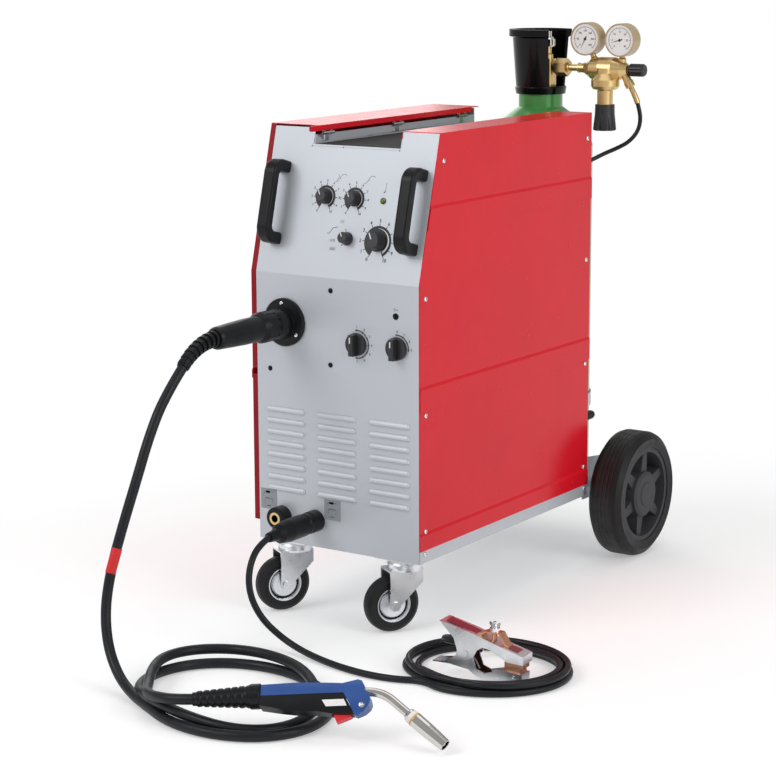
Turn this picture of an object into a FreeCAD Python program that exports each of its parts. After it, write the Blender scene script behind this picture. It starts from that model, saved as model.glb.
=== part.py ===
import FreeCAD, Part
import math
import os

# MIG/MAG welding machine on a cart: sheet-metal cabinet with a folded front, a side-opening
# wire feed compartment, two rear wheels, two swivel casters, a shielding gas cylinder with its
# regulator, a welding torch and an earth clamp, both on their leads.
# Millimetres. X to the machine's right, Y to the rear, Z up. The model is laid out from the
# lower front edge of the cabinet and moved to the middle of its footprint when written.

V = FreeCAD.Vector
X_AXIS = V(1, 0, 0)
Y_AXIS = V(0, 1, 0)
Z_AXIS = V(0, 0, 1)

# ---- driving dimensions: cabinet ----
CABINET_LENGTH = 588.0
CHASSIS_Z = 132.0          # underside of the chassis
KNEE_Z = 614.0             # where the front folds back
TOP_Z = 865.4
TOP_SETBACK = 65.6         # how far the folded front leans back at the top
RIGHT_X = 172.5            # outer face of the right side
LEFT_X = -180.0            # outer face of the feeder door
FRONT_LEFT_X = -169.0      # left edge of the front panel
FRONT_SHEET = 2.0
SIDE_SHEET = 1.5
BAND_STEP = 2.0            # how far each side panel's lower band stands out
UPPER_JOGGLE_Z = 741.5
UPPER_BAND_Z = 705.0
MIDDLE_JOGGLE_Z = 436.5
MIDDLE_BAND_Z = 399.0
LOWER_JOGGLE_Z = 181.0
LOWER_BAND_Z = 154.5
DOOR_BAND_Z = 422.0
LEFT_BOTTOM_Z = 165.0
SEAM = 5.0                 # height of the slanted step between a panel and its band
CHANNEL_LEFT_X = -84.0
CHANNEL_RIGHT_X = 97.5
CHANNEL_FLOOR_Z = 836.0
CHANNEL_WALL_Z = 852.0
FEEDER_FLOOR_Z = 430.0
PARTITION_X = -30.0
HINGE_X = -79.0
HINGE_Z = 853.5
HINGE_RADIUS = 3.0
HINGE_PIN = 1.45
HINGE_PLACES = (95.0, 315.0, CABINET_LENGTH - 51.5)
DOOR_LIP_X = -75.5
DOOR_TOP_Z = 868.0

# ---- driving dimensions: controls ----
RUNNING_GAP = 0.1          # radial clearance of a spindle in the panel
SPINDLE_RADIUS = 3.0
KNOB_LIFT = 0.6            # gap between a knob and the panel
SPOT_TIME = (-43.0, 139.0)
SOFT_START = (17.5, 138.5)
MODE_SWITCH = (14.0, 70.0)
WIRE_SPEED = (77.0, 69.0)
FEED_LAMP = (77.0, 139.0)
COARSE_STEP = (44.8, 504.2)
FINE_STEP = (127.4, 504.6)
PILOT_LAMP = (125.0, 559.4)
LAMP_RADIUS = 4.0
POT_RADIUS = 11.0
HANDLE_PLACES = (-137.5, 146.5)
HANDLE_WIDTH = 25.0
HANDLE_LOW = 50.0
HANDLE_LENGTH = 147.0
HANDLE_REACH = 45.0
HANDLE_BAR = 17.0
HANDLE_CORNER = 27.0

# ---- driving dimensions: louvres ----
LOUVRE_COLUMNS = (-108.75, -0.25, 110.0)
LOUVRE_LENGTH = 84.0
LOUVRE_ROWS = 8
LOUVRE_TOP_Z = 368.6
LOUVRE_PITCH = 20.37
LOUVRE_HEIGHT = 8.5
LOUVRE_DEPTH = 4.5
LOUVRE_WALL = 1.2

# ---- driving dimensions: sockets and leads ----
TORCH_SOCKET = (-107.0, 529.0)
TORCH_FLANGE_RADIUS = 42.5
EARTH_FREE = (-118.0, 178.0)
EARTH_USED = (-46.0, 180.0)
EARTH_COLLAR_RADIUS = 19.5
EARTH_BORE = 6.5
EARTH_COLLAR_LENGTH = 24.0
TORCH_CABLE = 17.0
EARTH_CABLE = 11.5
GAS_HOSE = 8.0

# ---- driving dimensions: running gear ----
REAR_WHEEL_RADIUS = 122.0
REAR_WHEEL_WIDTH = 70.0
REAR_WHEEL_FACE_X = 251.0
REAR_AXLE_Y = CABINET_LENGTH + 103.0
REAR_AXLE_RADIUS = 10.0
RIM_RADIUS = 91.5
HUB_RADIUS = 44.0
SPOKE_TURN = 22.0
CASTER_X = 117.5
CASTER_Y = 36.0
CASTER_RADIUS = 50.0
CASTER_WIDTH = 30.0
CASTER_TRAIL = 26.0
CASTER_YAW = -32.7         # direction of each caster's axle, degrees from +X
CASTER_AXLE = 4.0
KINGPIN = 5.0

# ---- driving dimensions: gas supply ----
CYLINDER_RADIUS = 102.0
CYLINDER_Y = CABINET_LENGTH + 109.0
CYLINDER_WALL = 5.0
PLATFORM_Z = 140.0
PLATFORM_SHEET = 3.0
PLATFORM_HALF = 120.0
SHOULDER_Z = 790.0
NECK_RADIUS = 42.5
NECK_RISE = 99.0            # from the shoulder to the top of the neck
NECK_TOP_Z = SHOULDER_Z + NECK_RISE
CAP_HEIGHT = 123.0
CAP_TOP_Z = NECK_TOP_Z + CAP_HEIGHT
VALVE_X = 16.0
PIPE_Z = NECK_TOP_Z + 51.0
BONNET_X = 149.0
GAUGE_RADIUS = 31.2
GAUGE_DEPTH = 30.0
GAUGES = ((104.0, PIPE_Z + 55.5), (178.0, PIPE_Z + 54.7))

# ---- driving dimensions: wire feed ----
SPOOL_RADIUS = 150.0
SPOOL_WIDTH = 98.0
SPOOL_CORE = 26.0
SPOOL_Y = 400.0
SPOOL_Z = 625.0
SPOOL_X = -153.0           # outer face of the spool

# The middle of the footprint of the machine with its torch and clamp.
ORIGIN_X = 129.98
ORIGIN_Y = 117.335

LEAN = math.atan2(TOP_SETBACK, TOP_Z - KNEE_Z)
nodes = {}


# ---------------------------------------------------------------- helpers
class Frame:
    """Local axes u, v and w = u x v at an origin, used to build tilted sub-assemblies."""

    def __init__(self, origin, u, v):
        self.origin = V(origin)
        self.u = V(u).normalize()
        self.v = V(v).normalize()
        self.w = self.u.cross(self.v)

    def at(self, a, b, c=0.0):
        return self.origin + self.u * a + self.v * b + self.w * c

    def place(self, shape):
        """Return a shape modelled in x, y, z moved so that they lie along u, v and w."""
        m = FreeCAD.Matrix(
            self.u.x, self.v.x, self.w.x, self.origin.x,
            self.u.y, self.v.y, self.w.y, self.origin.y,
            self.u.z, self.v.z, self.w.z, self.origin.z,
            0, 0, 0, 1)
        moved = shape.copy()
        moved.Placement = FreeCAD.Placement(m).multiply(moved.Placement)
        return moved


FRONT = Frame(V(0, 0, 0), X_AXIS, Z_AXIS)
SLOPE = Frame(V(0, 0, KNEE_Z), X_AXIS, V(0, math.sin(LEAN), math.cos(LEAN)))


def box(x0, x1, y0, y1, z0, z1):
    return Part.makeBox(x1 - x0, y1 - y0, z1 - z0, V(x0, y0, z0))


def rod(start, direction, radius, length):
    return Part.makeCylinder(radius, length, start, direction)


def ring(start, direction, outer, inner, length):
    return rod(start, direction, outer, length).cut(rod(start, direction, inner, length))


def polygon(points, origin, u, v):
    corners = [origin + u * a + v * b for a, b in points]
    return Part.Face(Part.makePolygon(corners + corners[:1]))


def prism_x(points, x0, x1):
    """Extrude an outline of (y, z) points from x0 to x1."""
    return polygon(points, V(x0, 0, 0), Y_AXIS, Z_AXIS).extrude(V(x1 - x0, 0, 0))


def prism_y(points, y0, y1):
    """Extrude an outline of (x, z) points from y0 to y1."""
    return polygon(points, V(0, y0, 0), X_AXIS, Z_AXIS).extrude(V(0, y1 - y0, 0))


def prism_z(points, z0, z1):
    """Extrude an outline of (x, y) points from z0 to z1."""
    return polygon(points, V(0, 0, z0), X_AXIS, Y_AXIS).extrude(V(0, 0, z1 - z0))


def turned(profile, base, direction):
    """Solid of revolution of a closed outline of (radius, height) points along a direction."""
    corners = [V(r, 0, h) for r, h in profile]
    face = Part.Face(Part.makePolygon(corners + corners[:1]))
    solid = face.revolve(V(0, 0, 0), Z_AXIS, 360)
    solid.Placement = FreeCAD.Placement(V(base), FreeCAD.Rotation(Z_AXIS, V(direction)))
    return solid


def joined(first, *others):
    return first.fuse(list(others)).removeSplitter()


def group(*solids):
    return Part.makeCompound(list(solids))


def rounded(shape, radius, keep):
    """Fillet the edges that keep() picks."""
    edges = [e for e in shape.Edges if keep(e)]
    return shape.makeFillet(radius, edges)


def mid(edge):
    return edge.valueAt((edge.FirstParameter + edge.LastParameter) / 2)


def ellipse_disc(centre, major, minor, turn, height):
    """Upright elliptic disc standing on z = 0."""
    curve = Part.Ellipse(V(0, 0, 0), major, minor)
    face = Part.Face(Part.Wire(curve.toShape()))
    disc = face.extrude(V(0, 0, height))
    disc.Placement = FreeCAD.Placement(centre, FreeCAD.Rotation(Z_AXIS, turn))
    return disc


def cord_path(route, name):
    """Straight runs joined by tangent arcs, each as large as its two runs allow."""
    points = [V(*p) for p in route]
    edges = []
    radii = []
    start = points[0]
    for before, corner, after in zip(points, points[1:], points[2:]):
        arriving = (corner - before).normalize()
        leaving = (after - corner).normalize()
        half_turn = arriving.getAngle(leaving) / 2
        setback = 0.45 * min((corner - before).Length, (after - corner).Length)
        radius = setback / math.tan(half_turn)
        inward = (leaving - arriving).normalize()
        nearest = corner + inward * (radius / math.cos(half_turn) - radius)
        enter = corner - arriving * setback
        leave = corner + leaving * setback
        edges.append(Part.LineSegment(start, enter).toShape())
        edges.append(Part.Arc(enter, nearest, leave).toShape())
        radii.append(round(radius))
        start = leave
    edges.append(Part.LineSegment(start, points[-1]).toShape())
    print(name, "bend radii", radii)
    return Part.Wire(edges)


def cord(route, diameter, name):
    """Round cord along a route; prints its radii, length and volume over section x length."""
    path = cord_path(route, name)
    first = (V(*route[1]) - V(*route[0])).normalize()
    section = Part.Wire(Part.makeCircle(diameter / 2, V(*route[0]), first))
    tube = path.makePipeShell([section], True, False)
    ideal = math.pi * diameter ** 2 / 4 * path.Length
    print(name, "length", round(path.Length), "volume ratio", round(tube.Volume / ideal, 4))
    return tube


# ---------------------------------------------------------------- cabinet
def slope_y(z, inset=0.0):
    """Y of the folded front at height z, inset inwards square to the sheet."""
    return (z - KNEE_Z) * math.tan(LEAN) + inset / math.cos(LEAN)


def knee_z(inset):
    """Height of the fold on a surface inset inwards by so much."""
    return KNEE_Z + (inset - inset / math.cos(LEAN)) / math.tan(LEAN)


def folded_sheet(z0, z1, thickness):
    """Outline (y, z) of a sheet that follows the front's fold, thickness going inwards."""
    knee = knee_z(thickness)
    return [(0, z0), (0, KNEE_Z), (slope_y(z1), z1), (slope_y(z1, thickness), z1),
            (thickness, knee), (thickness, z0)]


def before_front(inset=0.0):
    """The space in front of the folded front, to trim what ends at it."""
    high = TOP_Z + 100
    outline = [(-200, 0), (inset, 0), (inset, knee_z(inset)), (slope_y(high, inset), high), (-200, high)]
    return prism_x(outline, -400, 400)


def louvre(depth, height, length):
    """Pressed-out hood, open underneath, with rounded ends."""
    half = length / 2 - depth
    arc = Part.Arc(V(0, 0, height), V(0, -depth * 0.72, height * 0.6), V(0, -depth, 0)).toShape()
    edges = [arc, Part.makeLine(V(0, -depth, 0), V(0, 0, 0)), Part.makeLine(V(0, 0, 0), V(0, 0, height))]
    face = Part.Face(Part.Wire(edges))
    middle = face.extrude(V(half, 0, 0)).fuse(face.extrude(V(-half, 0, 0)))
    right_end = face.copy()
    right_end.translate(V(half, 0, 0))
    right_end = right_end.revolve(V(half, 0, 0), Z_AXIS, 90)
    left_end = face.copy()
    left_end.translate(V(-half, 0, 0))
    left_end = left_end.revolve(V(-half, 0, 0), Z_AXIS, -90)
    return joined(middle, right_end, left_end)


def front_panel():
    panel = prism_x(folded_sheet(CHASSIS_Z, TOP_Z - SIDE_SHEET, FRONT_SHEET), FRONT_LEFT_X, RIGHT_X - SIDE_SHEET)
    hood = louvre(LOUVRE_DEPTH, LOUVRE_HEIGHT, LOUVRE_LENGTH)
    hollow = prism_x([(FRONT_SHEET + 1, 0), (-LOUVRE_DEPTH + LOUVRE_WALL, 0), (-LOUVRE_DEPTH * 0.45, LOUVRE_HEIGHT * 0.55),
                      (FRONT_SHEET + 1, LOUVRE_HEIGHT * 0.55)],
                     -LOUVRE_LENGTH / 2 + LOUVRE_DEPTH, LOUVRE_LENGTH / 2 - LOUVRE_DEPTH)
    hoods = []
    hollows = []
    for column in LOUVRE_COLUMNS:
        for row in range(LOUVRE_ROWS):
            spot = V(column, 0, LOUVRE_TOP_Z - row * LOUVRE_PITCH)
            for cutter, kept in ((hood, hoods), (hollow, hollows)):
                piece = cutter.copy()
                piece.translate(spot)
                kept.append(piece)
    panel = panel.fuse(hoods).cut(hollows)
    notch = box(CHANNEL_LEFT_X, CHANNEL_RIGHT_X + SIDE_SHEET, -50, 150, CHANNEL_FLOOR_Z, TOP_Z + 50)
    cuts = [notch]
    hole = SPINDLE_RADIUS + RUNNING_GAP
    for frame, spots in ((SLOPE, (SPOT_TIME, SOFT_START, MODE_SWITCH, WIRE_SPEED)), (FRONT, (COARSE_STEP, FINE_STEP))):
        for a, b in spots:
            cuts.append(rod(frame.at(a, b, -10), frame.w, hole, 20))
    for frame, (a, b) in ((SLOPE, FEED_LAMP), (FRONT, PILOT_LAMP)):
        cuts.append(rod(frame.at(a, b, -10), frame.w, LAMP_RADIUS, 20))
    cuts.append(rod(FRONT.at(*TORCH_SOCKET, -10), FRONT.w, TORCH_FLANGE_RADIUS * 0.6, 20))
    for a, b in (EARTH_FREE, EARTH_USED):
        cuts.append(rod(FRONT.at(a, b, -10), FRONT.w, EARTH_COLLAR_RADIUS * 0.6, 20))
    return panel.cut(cuts).removeSplitter()


def side_profile(face_x, z_top, joggle_z, band_z, side):
    """Outline (x, z) of a flat side sheet whose lower band steps outwards."""
    inner = face_x - side * SIDE_SHEET
    step = side * BAND_STEP
    return [(face_x, z_top), (face_x, joggle_z + SEAM), (face_x + step, joggle_z), (face_x + step, band_z),
            (inner + step, band_z), (inner + step, joggle_z), (inner, joggle_z + SEAM), (inner, z_top)]


def right_panels():
    length = CABINET_LENGTH + SIDE_SHEET
    inner = RIGHT_X - SIDE_SHEET
    lip = CHANNEL_RIGHT_X + SIDE_SHEET
    deck = [(CHANNEL_RIGHT_X, CHANNEL_WALL_Z), (CHANNEL_RIGHT_X, TOP_Z)]
    side = side_profile(RIGHT_X, TOP_Z, UPPER_JOGGLE_Z, UPPER_BAND_Z, 1)
    under = [(inner, TOP_Z - SIDE_SHEET), (lip, TOP_Z - SIDE_SHEET), (lip, CHANNEL_WALL_Z)]
    upper = prism_y(deck + side[:-1] + under, 0, length).cut(before_front())
    middle_top = UPPER_JOGGLE_Z - 1
    middle = prism_y(side_profile(RIGHT_X, middle_top, MIDDLE_JOGGLE_Z, MIDDLE_BAND_Z, 1), 0, length)
    lower_top = MIDDLE_JOGGLE_Z - 1
    lower = prism_y(side_profile(RIGHT_X, lower_top, LOWER_JOGGLE_Z, LOWER_BAND_Z, 1), 0, length)
    nodes["right_upper_panel"] = upper
    nodes["right_middle_panel"] = middle.cut(before_front())
    nodes["right_lower_panel"] = lower


def base_tray():
    wall_z = LOWER_JOGGLE_Z - 1
    left = FRONT_LEFT_X
    t = FRONT_SHEET
    outline = [(left, wall_z), (left, CHASSIS_Z), (RIGHT_X, CHASSIS_Z), (RIGHT_X, wall_z), (RIGHT_X - t, wall_z),
               (RIGHT_X - t, CHASSIS_Z + t), (left + t, CHASSIS_Z + t), (left + t, wall_z)]
    tray = prism_y(outline, FRONT_SHEET, CABINET_LENGTH - FRONT_SHEET)
    return tray


def rear_panel():
    panel = box(FRONT_LEFT_X, RIGHT_X - SIDE_SHEET, CABINET_LENGTH - FRONT_SHEET, CABINET_LENGTH, CHASSIS_Z, TOP_Z - SIDE_SHEET)
    notch = box(CHANNEL_LEFT_X, CHANNEL_RIGHT_X + SIDE_SHEET, CABINET_LENGTH - 10, CABINET_LENGTH + 10, CHANNEL_FLOOR_Z, TOP_Z)
    slots = [notch]
    for row in range(9):
        z = 470 + row * 18
        slots.append(box(-60, 100, CABINET_LENGTH - 10, CABINET_LENGTH + 10, z, z + 7))
    return panel.cut(slots)


def left_lower_panel():
    length = CABINET_LENGTH + SIDE_SHEET
    top = FEEDER_FLOOR_Z
    t = SIDE_SHEET
    bottom = LEFT_BOTTOM_Z
    outline = [(LEFT_X, top), (LEFT_X, bottom), (FRONT_LEFT_X, bottom), (FRONT_LEFT_X, bottom + t),
               (LEFT_X + t, bottom + t), (LEFT_X + t, top - t), (FRONT_LEFT_X, top - t), (FRONT_LEFT_X, top)]
    pan = prism_y(outline, 0, length)
    front_return = box(LEFT_X, FRONT_LEFT_X, 0, t, bottom, top)
    rear_return = box(LEFT_X, FRONT_LEFT_X, CABINET_LENGTH, length, bottom, top)
    return joined(pan, front_return, rear_return)


def feeder_door():
    length = CABINET_LENGTH + SIDE_SHEET
    t = SIDE_SHEET
    bottom = DOOR_BAND_Z + 14
    edge = DOOR_TOP_Z - t
    side = side_profile(LEFT_X, DOOR_TOP_Z, bottom, DOOR_BAND_Z, -1)
    lid = [(LEFT_X + t, edge), (DOOR_LIP_X, edge), (DOOR_LIP_X, DOOR_TOP_Z)]
    cover = prism_y(side[:-1] + lid, 0, length).cut(before_front())
    reach = FRONT_LEFT_X - 1
    front_return = prism_x(folded_sheet(bottom + SEAM, edge, t), LEFT_X, reach)
    rear_return = box(LEFT_X, reach, CABINET_LENGTH, length, bottom + SEAM, edge)
    lip = box(DOOR_LIP_X - 3, DOOR_LIP_X, 38, CABINET_LENGTH - 22, 858, DOOR_TOP_Z)
    lip = rounded(lip, 4.9, lambda e: abs(mid(e).y - 38) < 0.1 and e.Length < 4 and abs(mid(e).x - DOOR_LIP_X + 1.5) < 0.1)
    lip = rounded(lip, 1.4, lambda e: abs(mid(e).x - DOOR_LIP_X) < 0.1 and e.Length > 100)
    door = joined(cover, front_return, rear_return, lip)
    for y in HINGE_PLACES:
        for y0 in (y - 16.4, y + 6.4):
            leaf = box(HINGE_X - 2.5, HINGE_X - 1, y0, y0 + 10, HINGE_Z, edge + 0.5)
            knuckle = rod(V(HINGE_X, y0, HINGE_Z), Y_AXIS, HINGE_RADIUS, 10)
            pin_hole = rod(V(HINGE_X, y0 - 1, HINGE_Z), Y_AXIS, HINGE_PIN + 0.08, 12)
            door = door.fuse([leaf, knuckle]).cut(pin_hole)
    return door.removeSplitter()


def top_channel():
    t = SIDE_SHEET
    x0 = CHANNEL_LEFT_X
    x1 = CHANNEL_RIGHT_X
    z0 = CHANNEL_FLOOR_Z - t
    wall = CHANNEL_WALL_Z
    outline = [(x0, wall), (x0, z0), (x1, z0), (x1, TOP_Z - 3), (x1 - t, TOP_Z - 3), (x1 - t, CHANNEL_FLOOR_Z),
               (x0 + t, CHANNEL_FLOOR_Z), (x0 + t, wall)]
    tray = prism_y(outline, 0, CABINET_LENGTH - FRONT_SHEET).cut(before_front(FRONT_SHEET))
    for y in HINGE_PLACES:
        leaf = box(x0 + t, x0 + 2 * t, y - 6, y + 6, CHANNEL_FLOOR_Z + 4, HINGE_Z)
        knuckle = rod(V(HINGE_X, y - 6, HINGE_Z), Y_AXIS, HINGE_RADIUS, 12)
        pin = rod(V(HINGE_X, y - 17, HINGE_Z), Y_AXIS, HINGE_PIN, 34)
        tray = tray.fuse([leaf, knuckle, pin])
    return tray.removeSplitter()


def feeder_bay():
    t = SIDE_SHEET
    z_top = CHANNEL_FLOOR_Z - t
    rear = CABINET_LENGTH - FRONT_SHEET
    wall = box(PARTITION_X - t, PARTITION_X, 0, rear, FEEDER_FLOOR_Z - t, z_top)
    floor = box(FRONT_LEFT_X, PARTITION_X, FRONT_SHEET, rear, FEEDER_FLOOR_Z - t, FEEDER_FLOOR_Z)
    return joined(wall.cut(before_front(FRONT_SHEET)), floor)


# ---------------------------------------------------------------- controls
def pot_knob(frame, spot, radius, height):
    """Round knob with a skirt, a raised pointer rib and its own spindle through the panel."""
    a, b = spot
    skirt = turned([(0, 0), (radius, 0), (radius, 2.5), (radius * 0.9, 3.5), (radius * 0.84, height - 1.2),
                    (radius * 0.84 - 1.2, height), (0, height)], frame.at(a, b, KNOB_LIFT), frame.w)
    spindle = rod(frame.at(a, b, -12), frame.w, SPINDLE_RADIUS, 13)
    return joined(skirt, spindle)


def cam_knob(frame, spot, radius, height):
    """Switch knob: a low round disc with a tapered grip bar across it, and its spindle."""
    a, b = spot
    disc = turned([(0, 0), (radius, 0), (radius, 6), (radius - 2, 8), (0, 8)], frame.at(a, b, KNOB_LIFT), frame.w)
    bar = Part.makeBox(radius * 0.46, radius * 2 - 3, height, V(-radius * 0.23, -radius + 1.5, KNOB_LIFT))
    bar = rounded(bar, 3, lambda e: abs(mid(e).z - height - KNOB_LIFT) < 0.1)
    local = Frame(frame.at(a, b), frame.u, frame.v)
    spindle = rod(frame.at(a, b, -12), frame.w, SPINDLE_RADIUS, 13)
    return joined(disc, local.place(bar), spindle)


def control_units():
    """Potentiometers and cam switches behind the panel, each round its spindle."""
    hole = SPINDLE_RADIUS + RUNNING_GAP
    units = []
    for spot in (SPOT_TIME, SOFT_START, MODE_SWITCH, WIRE_SPEED):
        units.append(ring(SLOPE.at(*spot, -FRONT_SHEET - 12), SLOPE.w, POT_RADIUS, hole, 12))
    for a, b in (COARSE_STEP, FINE_STEP):
        block = box(a - 24, a + 24, FRONT_SHEET, FRONT_SHEET + 55, b - 24, b + 24)
        units.append(block.cut(rod(V(a, 0, b), Y_AXIS, hole, 14)))
    return units


def lamps():
    built = []
    for frame, spot in ((SLOPE, FEED_LAMP), (FRONT, PILOT_LAMP)):
        profile = [(0, -FRONT_SHEET - 10), (LAMP_RADIUS, -FRONT_SHEET - 10), (LAMP_RADIUS, 0), (LAMP_RADIUS + 1.5, 0),
                   (LAMP_RADIUS + 1.5, 1.2), (3.2, 1.6), (2.4, 3.4), (1.2, 4.2), (0, 4.4)]
        built.append(turned(profile, frame.at(*spot), frame.w))
    return built


def bow_outline(low, high, reach, corner):
    """Edges of a D from one foot to the other: two legs, two round corners and the bar."""
    lift = reach - corner
    far = corner * (1 - math.sqrt(0.5))
    points = [(low, 0), (low, lift), (low + far, reach - far), (low + corner, reach), (high - corner, reach),
              (high - far, reach - far), (high, lift), (high, 0)]
    return [SLOPE.at(0, a, c) for a, c in points]


def front_handles():
    """D handles: two feet and a grip bar with round shoulders, all edges rounded."""
    foot = 21.0
    outer = bow_outline(HANDLE_LOW, HANDLE_LOW + HANDLE_LENGTH, HANDLE_REACH, HANDLE_CORNER)
    inner = bow_outline(HANDLE_LOW + foot, HANDLE_LOW + HANDLE_LENGTH - foot, HANDLE_REACH - HANDLE_BAR, 10)
    edges = [Part.makeLine(outer[0], inner[0]), Part.makeLine(outer[7], inner[7])]
    for p in (outer, inner):
        edges += [Part.makeLine(p[0], p[1]), Part.Arc(p[1], p[2], p[3]).toShape(), Part.makeLine(p[3], p[4]),
                  Part.Arc(p[4], p[5], p[6]).toShape(), Part.makeLine(p[6], p[7])]
    face = Part.Face(Part.Wire(Part.__sortEdges__(edges)))
    built = []
    for x in HANDLE_PLACES:
        sides = [x - HANDLE_WIDTH / 2, x + HANDLE_WIDTH / 2]
        bow = face.copy()
        bow.translate(X_AXIS * sides[0])
        bow = bow.extrude(X_AXIS * HANDLE_WIDTH)

        def on_rim(edge):
            spot = mid(edge)
            off_panel = (spot - SLOPE.origin).dot(SLOPE.w) > 1
            return off_panel and min(abs(spot.x - s) for s in sides) < 0.1

        built.append(rounded(bow, 5, on_rim))
    return group(*built)


# ---------------------------------------------------------------- torch and earth sockets
def torch_socket():
    x, z = TORCH_SOCKET
    base = V(x, 0, z)
    profile = [(0, -58), (14, -58), (14, 0), (TORCH_FLANGE_RADIUS, 0), (TORCH_FLANGE_RADIUS, 5), (TORCH_FLANGE_RADIUS - 2, 7),
               (29, 8), (28, 15), (0, 15)]
    return turned(profile, base, -Y_AXIS)


TORCH_PLUG_FACE = 15.0
TORCH_PLUG_END = 200.0
BOOT_BEND = 120.6
BOOT_TURN = 44.8


def torch_plug():
    x, z = TORCH_SOCKET
    profile = [(0, TORCH_PLUG_FACE), (25.5, TORCH_PLUG_FACE), (26.5, 24), (25, 40), (27, 46), (27, 74), (24.5, 80),
               (22, 84), (22.4, 120), (21, 160), (19.5, 194), (17, TORCH_PLUG_END), (0, TORCH_PLUG_END)]
    plug = turned(profile, V(x, 0, z), -Y_AXIS)
    grooves = []
    for k in range(12):
        turn = math.radians(30 * k)
        spot = V(x + 28.6 * math.cos(turn), -47, z + 28.6 * math.sin(turn))
        grooves.append(rod(spot, -Y_AXIS, 3, 26))
    return plug.cut(grooves)


def boot_point(turn):
    """Point and heading on the boot's bend, turn degrees after it leaves the plug."""
    x, z = TORCH_SOCKET
    a = math.radians(turn)
    point = V(x, -TORCH_PLUG_END - BOOT_BEND * math.sin(a), z - BOOT_BEND * (1 - math.cos(a)))
    return point, V(0, -math.cos(a), -math.sin(a))


def torch_plug_boot():
    start, heading = boot_point(0)
    middle, _ = boot_point(BOOT_TURN / 2)
    end, _ = boot_point(BOOT_TURN)
    path = Part.Wire([Part.Arc(start, middle, end).toShape()])
    core = path.makePipeShell([Part.Wire(Part.makeCircle(10.5, start, heading))], True, False)
    ribs = 8
    for k in range(ribs):
        point, heading = boot_point(BOOT_TURN * (k + 0.2) / ribs)
        radius = 14.5 - 3.2 * k / (ribs - 1)
        core = core.fuse(rod(point, heading, radius, 6.5))
    return core.removeSplitter()


TORCH_ROUTE_START, TORCH_HEADING = boot_point(BOOT_TURN)
TORCH_ROUTE = [
    tuple(TORCH_ROUTE_START), (-111, -330, 450), (-115, -365, 392), (-120, -393, 325), (-128, -420, 255),
    (-135.5, -445, 183), (-135, -463, 120), (-116, -480, 66), (-82, -496, 28), (-38, -516, 12), (12, -540, 9),
]
COIL_CENTRE = V(98, -427, 0)
COIL_HEIGHT = 38.0
TORCH_END_ROUTE = [(131, -568.9, 50), (102, -580, 47.5), (71, -577, 44), (40, -563, 38), (14, -540, 32), (-8, -512, 26)]


def torch_cable_coil():
    outer = ellipse_disc(COIL_CENTRE, 212, 156, -28, COIL_HEIGHT)
    inner = ellipse_disc(COIL_CENTRE, 166, 113, -28, COIL_HEIGHT)
    return outer.cut(inner)


def earth_sockets():
    built = []
    for x, z in (EARTH_FREE, EARTH_USED):
        profile = [(0, -30), (EARTH_COLLAR_RADIUS * 0.6, -30), (EARTH_COLLAR_RADIUS * 0.6, 0), (EARTH_COLLAR_RADIUS, 0),
                   (EARTH_COLLAR_RADIUS, EARTH_COLLAR_LENGTH - 2), (EARTH_COLLAR_RADIUS - 2, EARTH_COLLAR_LENGTH),
                   (EARTH_BORE, EARTH_COLLAR_LENGTH), (EARTH_BORE, 2), (0, 2)]
        built.append(turned(profile, V(x, 0, z), -Y_AXIS))
    return group(*built)


EARTH_PLUG_END = 138.0


def earth_plug():
    x, z = EARTH_USED
    face = EARTH_COLLAR_LENGTH
    profile = [(0, 3), (EARTH_BORE - 0.3, 3), (EARTH_BORE - 0.3, face), (18.5, face), (19, face + 12), (18, face + 14),
               (18, face + 16), (20, face + 18), (20, face + 60), (17, face + 84), (11, face + 92), (8.5, EARTH_PLUG_END),
               (0, EARTH_PLUG_END)]
    return turned(profile, V(x, 0, z), -Y_AXIS)


EARTH_ROUTE = [
    (-46, -EARTH_PLUG_END, 180), (-46, -166, 172), (-44, -189, 154), (-41, -203, 129), (-36, -207, 102),
    (-28, -203, 76), (-16, -194, 51), (3, -184, 30), (30, -181, 15), (74, -192, 8), (140, -211, 6.2),
    (208, -221, 6), (262, -216, 6), (306, -196, 6),
]
EARTH_COIL_CENTRE = V(354, -88, 0)
EARTH_COIL_HOLE = V(365, -84, 0)
EARTH_COIL_HEIGHT = 23.0
CLAMP = Frame(V(353, -130, 47), V(0.998, 0.07, 0), Z_AXIS)
EARTH_END_ROUTE = [
    tuple(CLAMP.at(20, 11.5, 0)), tuple(CLAMP.at(-12, 11.5, 0)), tuple(CLAMP.at(-42, 10, -6)),
    tuple(CLAMP.at(-62, 5, -27)), tuple(CLAMP.at(-66, -4, -58)), tuple(CLAMP.at(-56, -14, -88)),
    tuple(CLAMP.at(-38, -24, -112)),
]


def earth_cable_coil():
    outer = ellipse_disc(EARTH_COIL_CENTRE, 155, 136, 8, EARTH_COIL_HEIGHT)
    inner = ellipse_disc(EARTH_COIL_HOLE, 97, 86, 8, EARTH_COIL_HEIGHT)
    bed = [(-62, 0), (-62, -23.3), (-30, -22.7), (6, -27.3), (20, -37.3), (40, -41.3), (60, -38.3), (103.3, -33.3),
           (112, -33.3), (112, 0)]
    jaw_room = polygon(bed, CLAMP.at(0, 0, -17), CLAMP.u, CLAMP.v).extrude(CLAMP.w * 34)
    return outer.cut([inner, jaw_room])


# ---------------------------------------------------------------- earth clamp
CLAMP_UPPER_HALF = 17.0
CLAMP_LOWER_HALF = 14.0
CLAMP_SHEET = 2.0
PIVOT_RADIUS = 4.0


def clamp_plate(outline, w0, w1):
    face = polygon(outline, CLAMP.at(0, 0, w0), CLAMP.u, CLAMP.v)
    return face.extrude(CLAMP.w * (w1 - w0))


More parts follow.
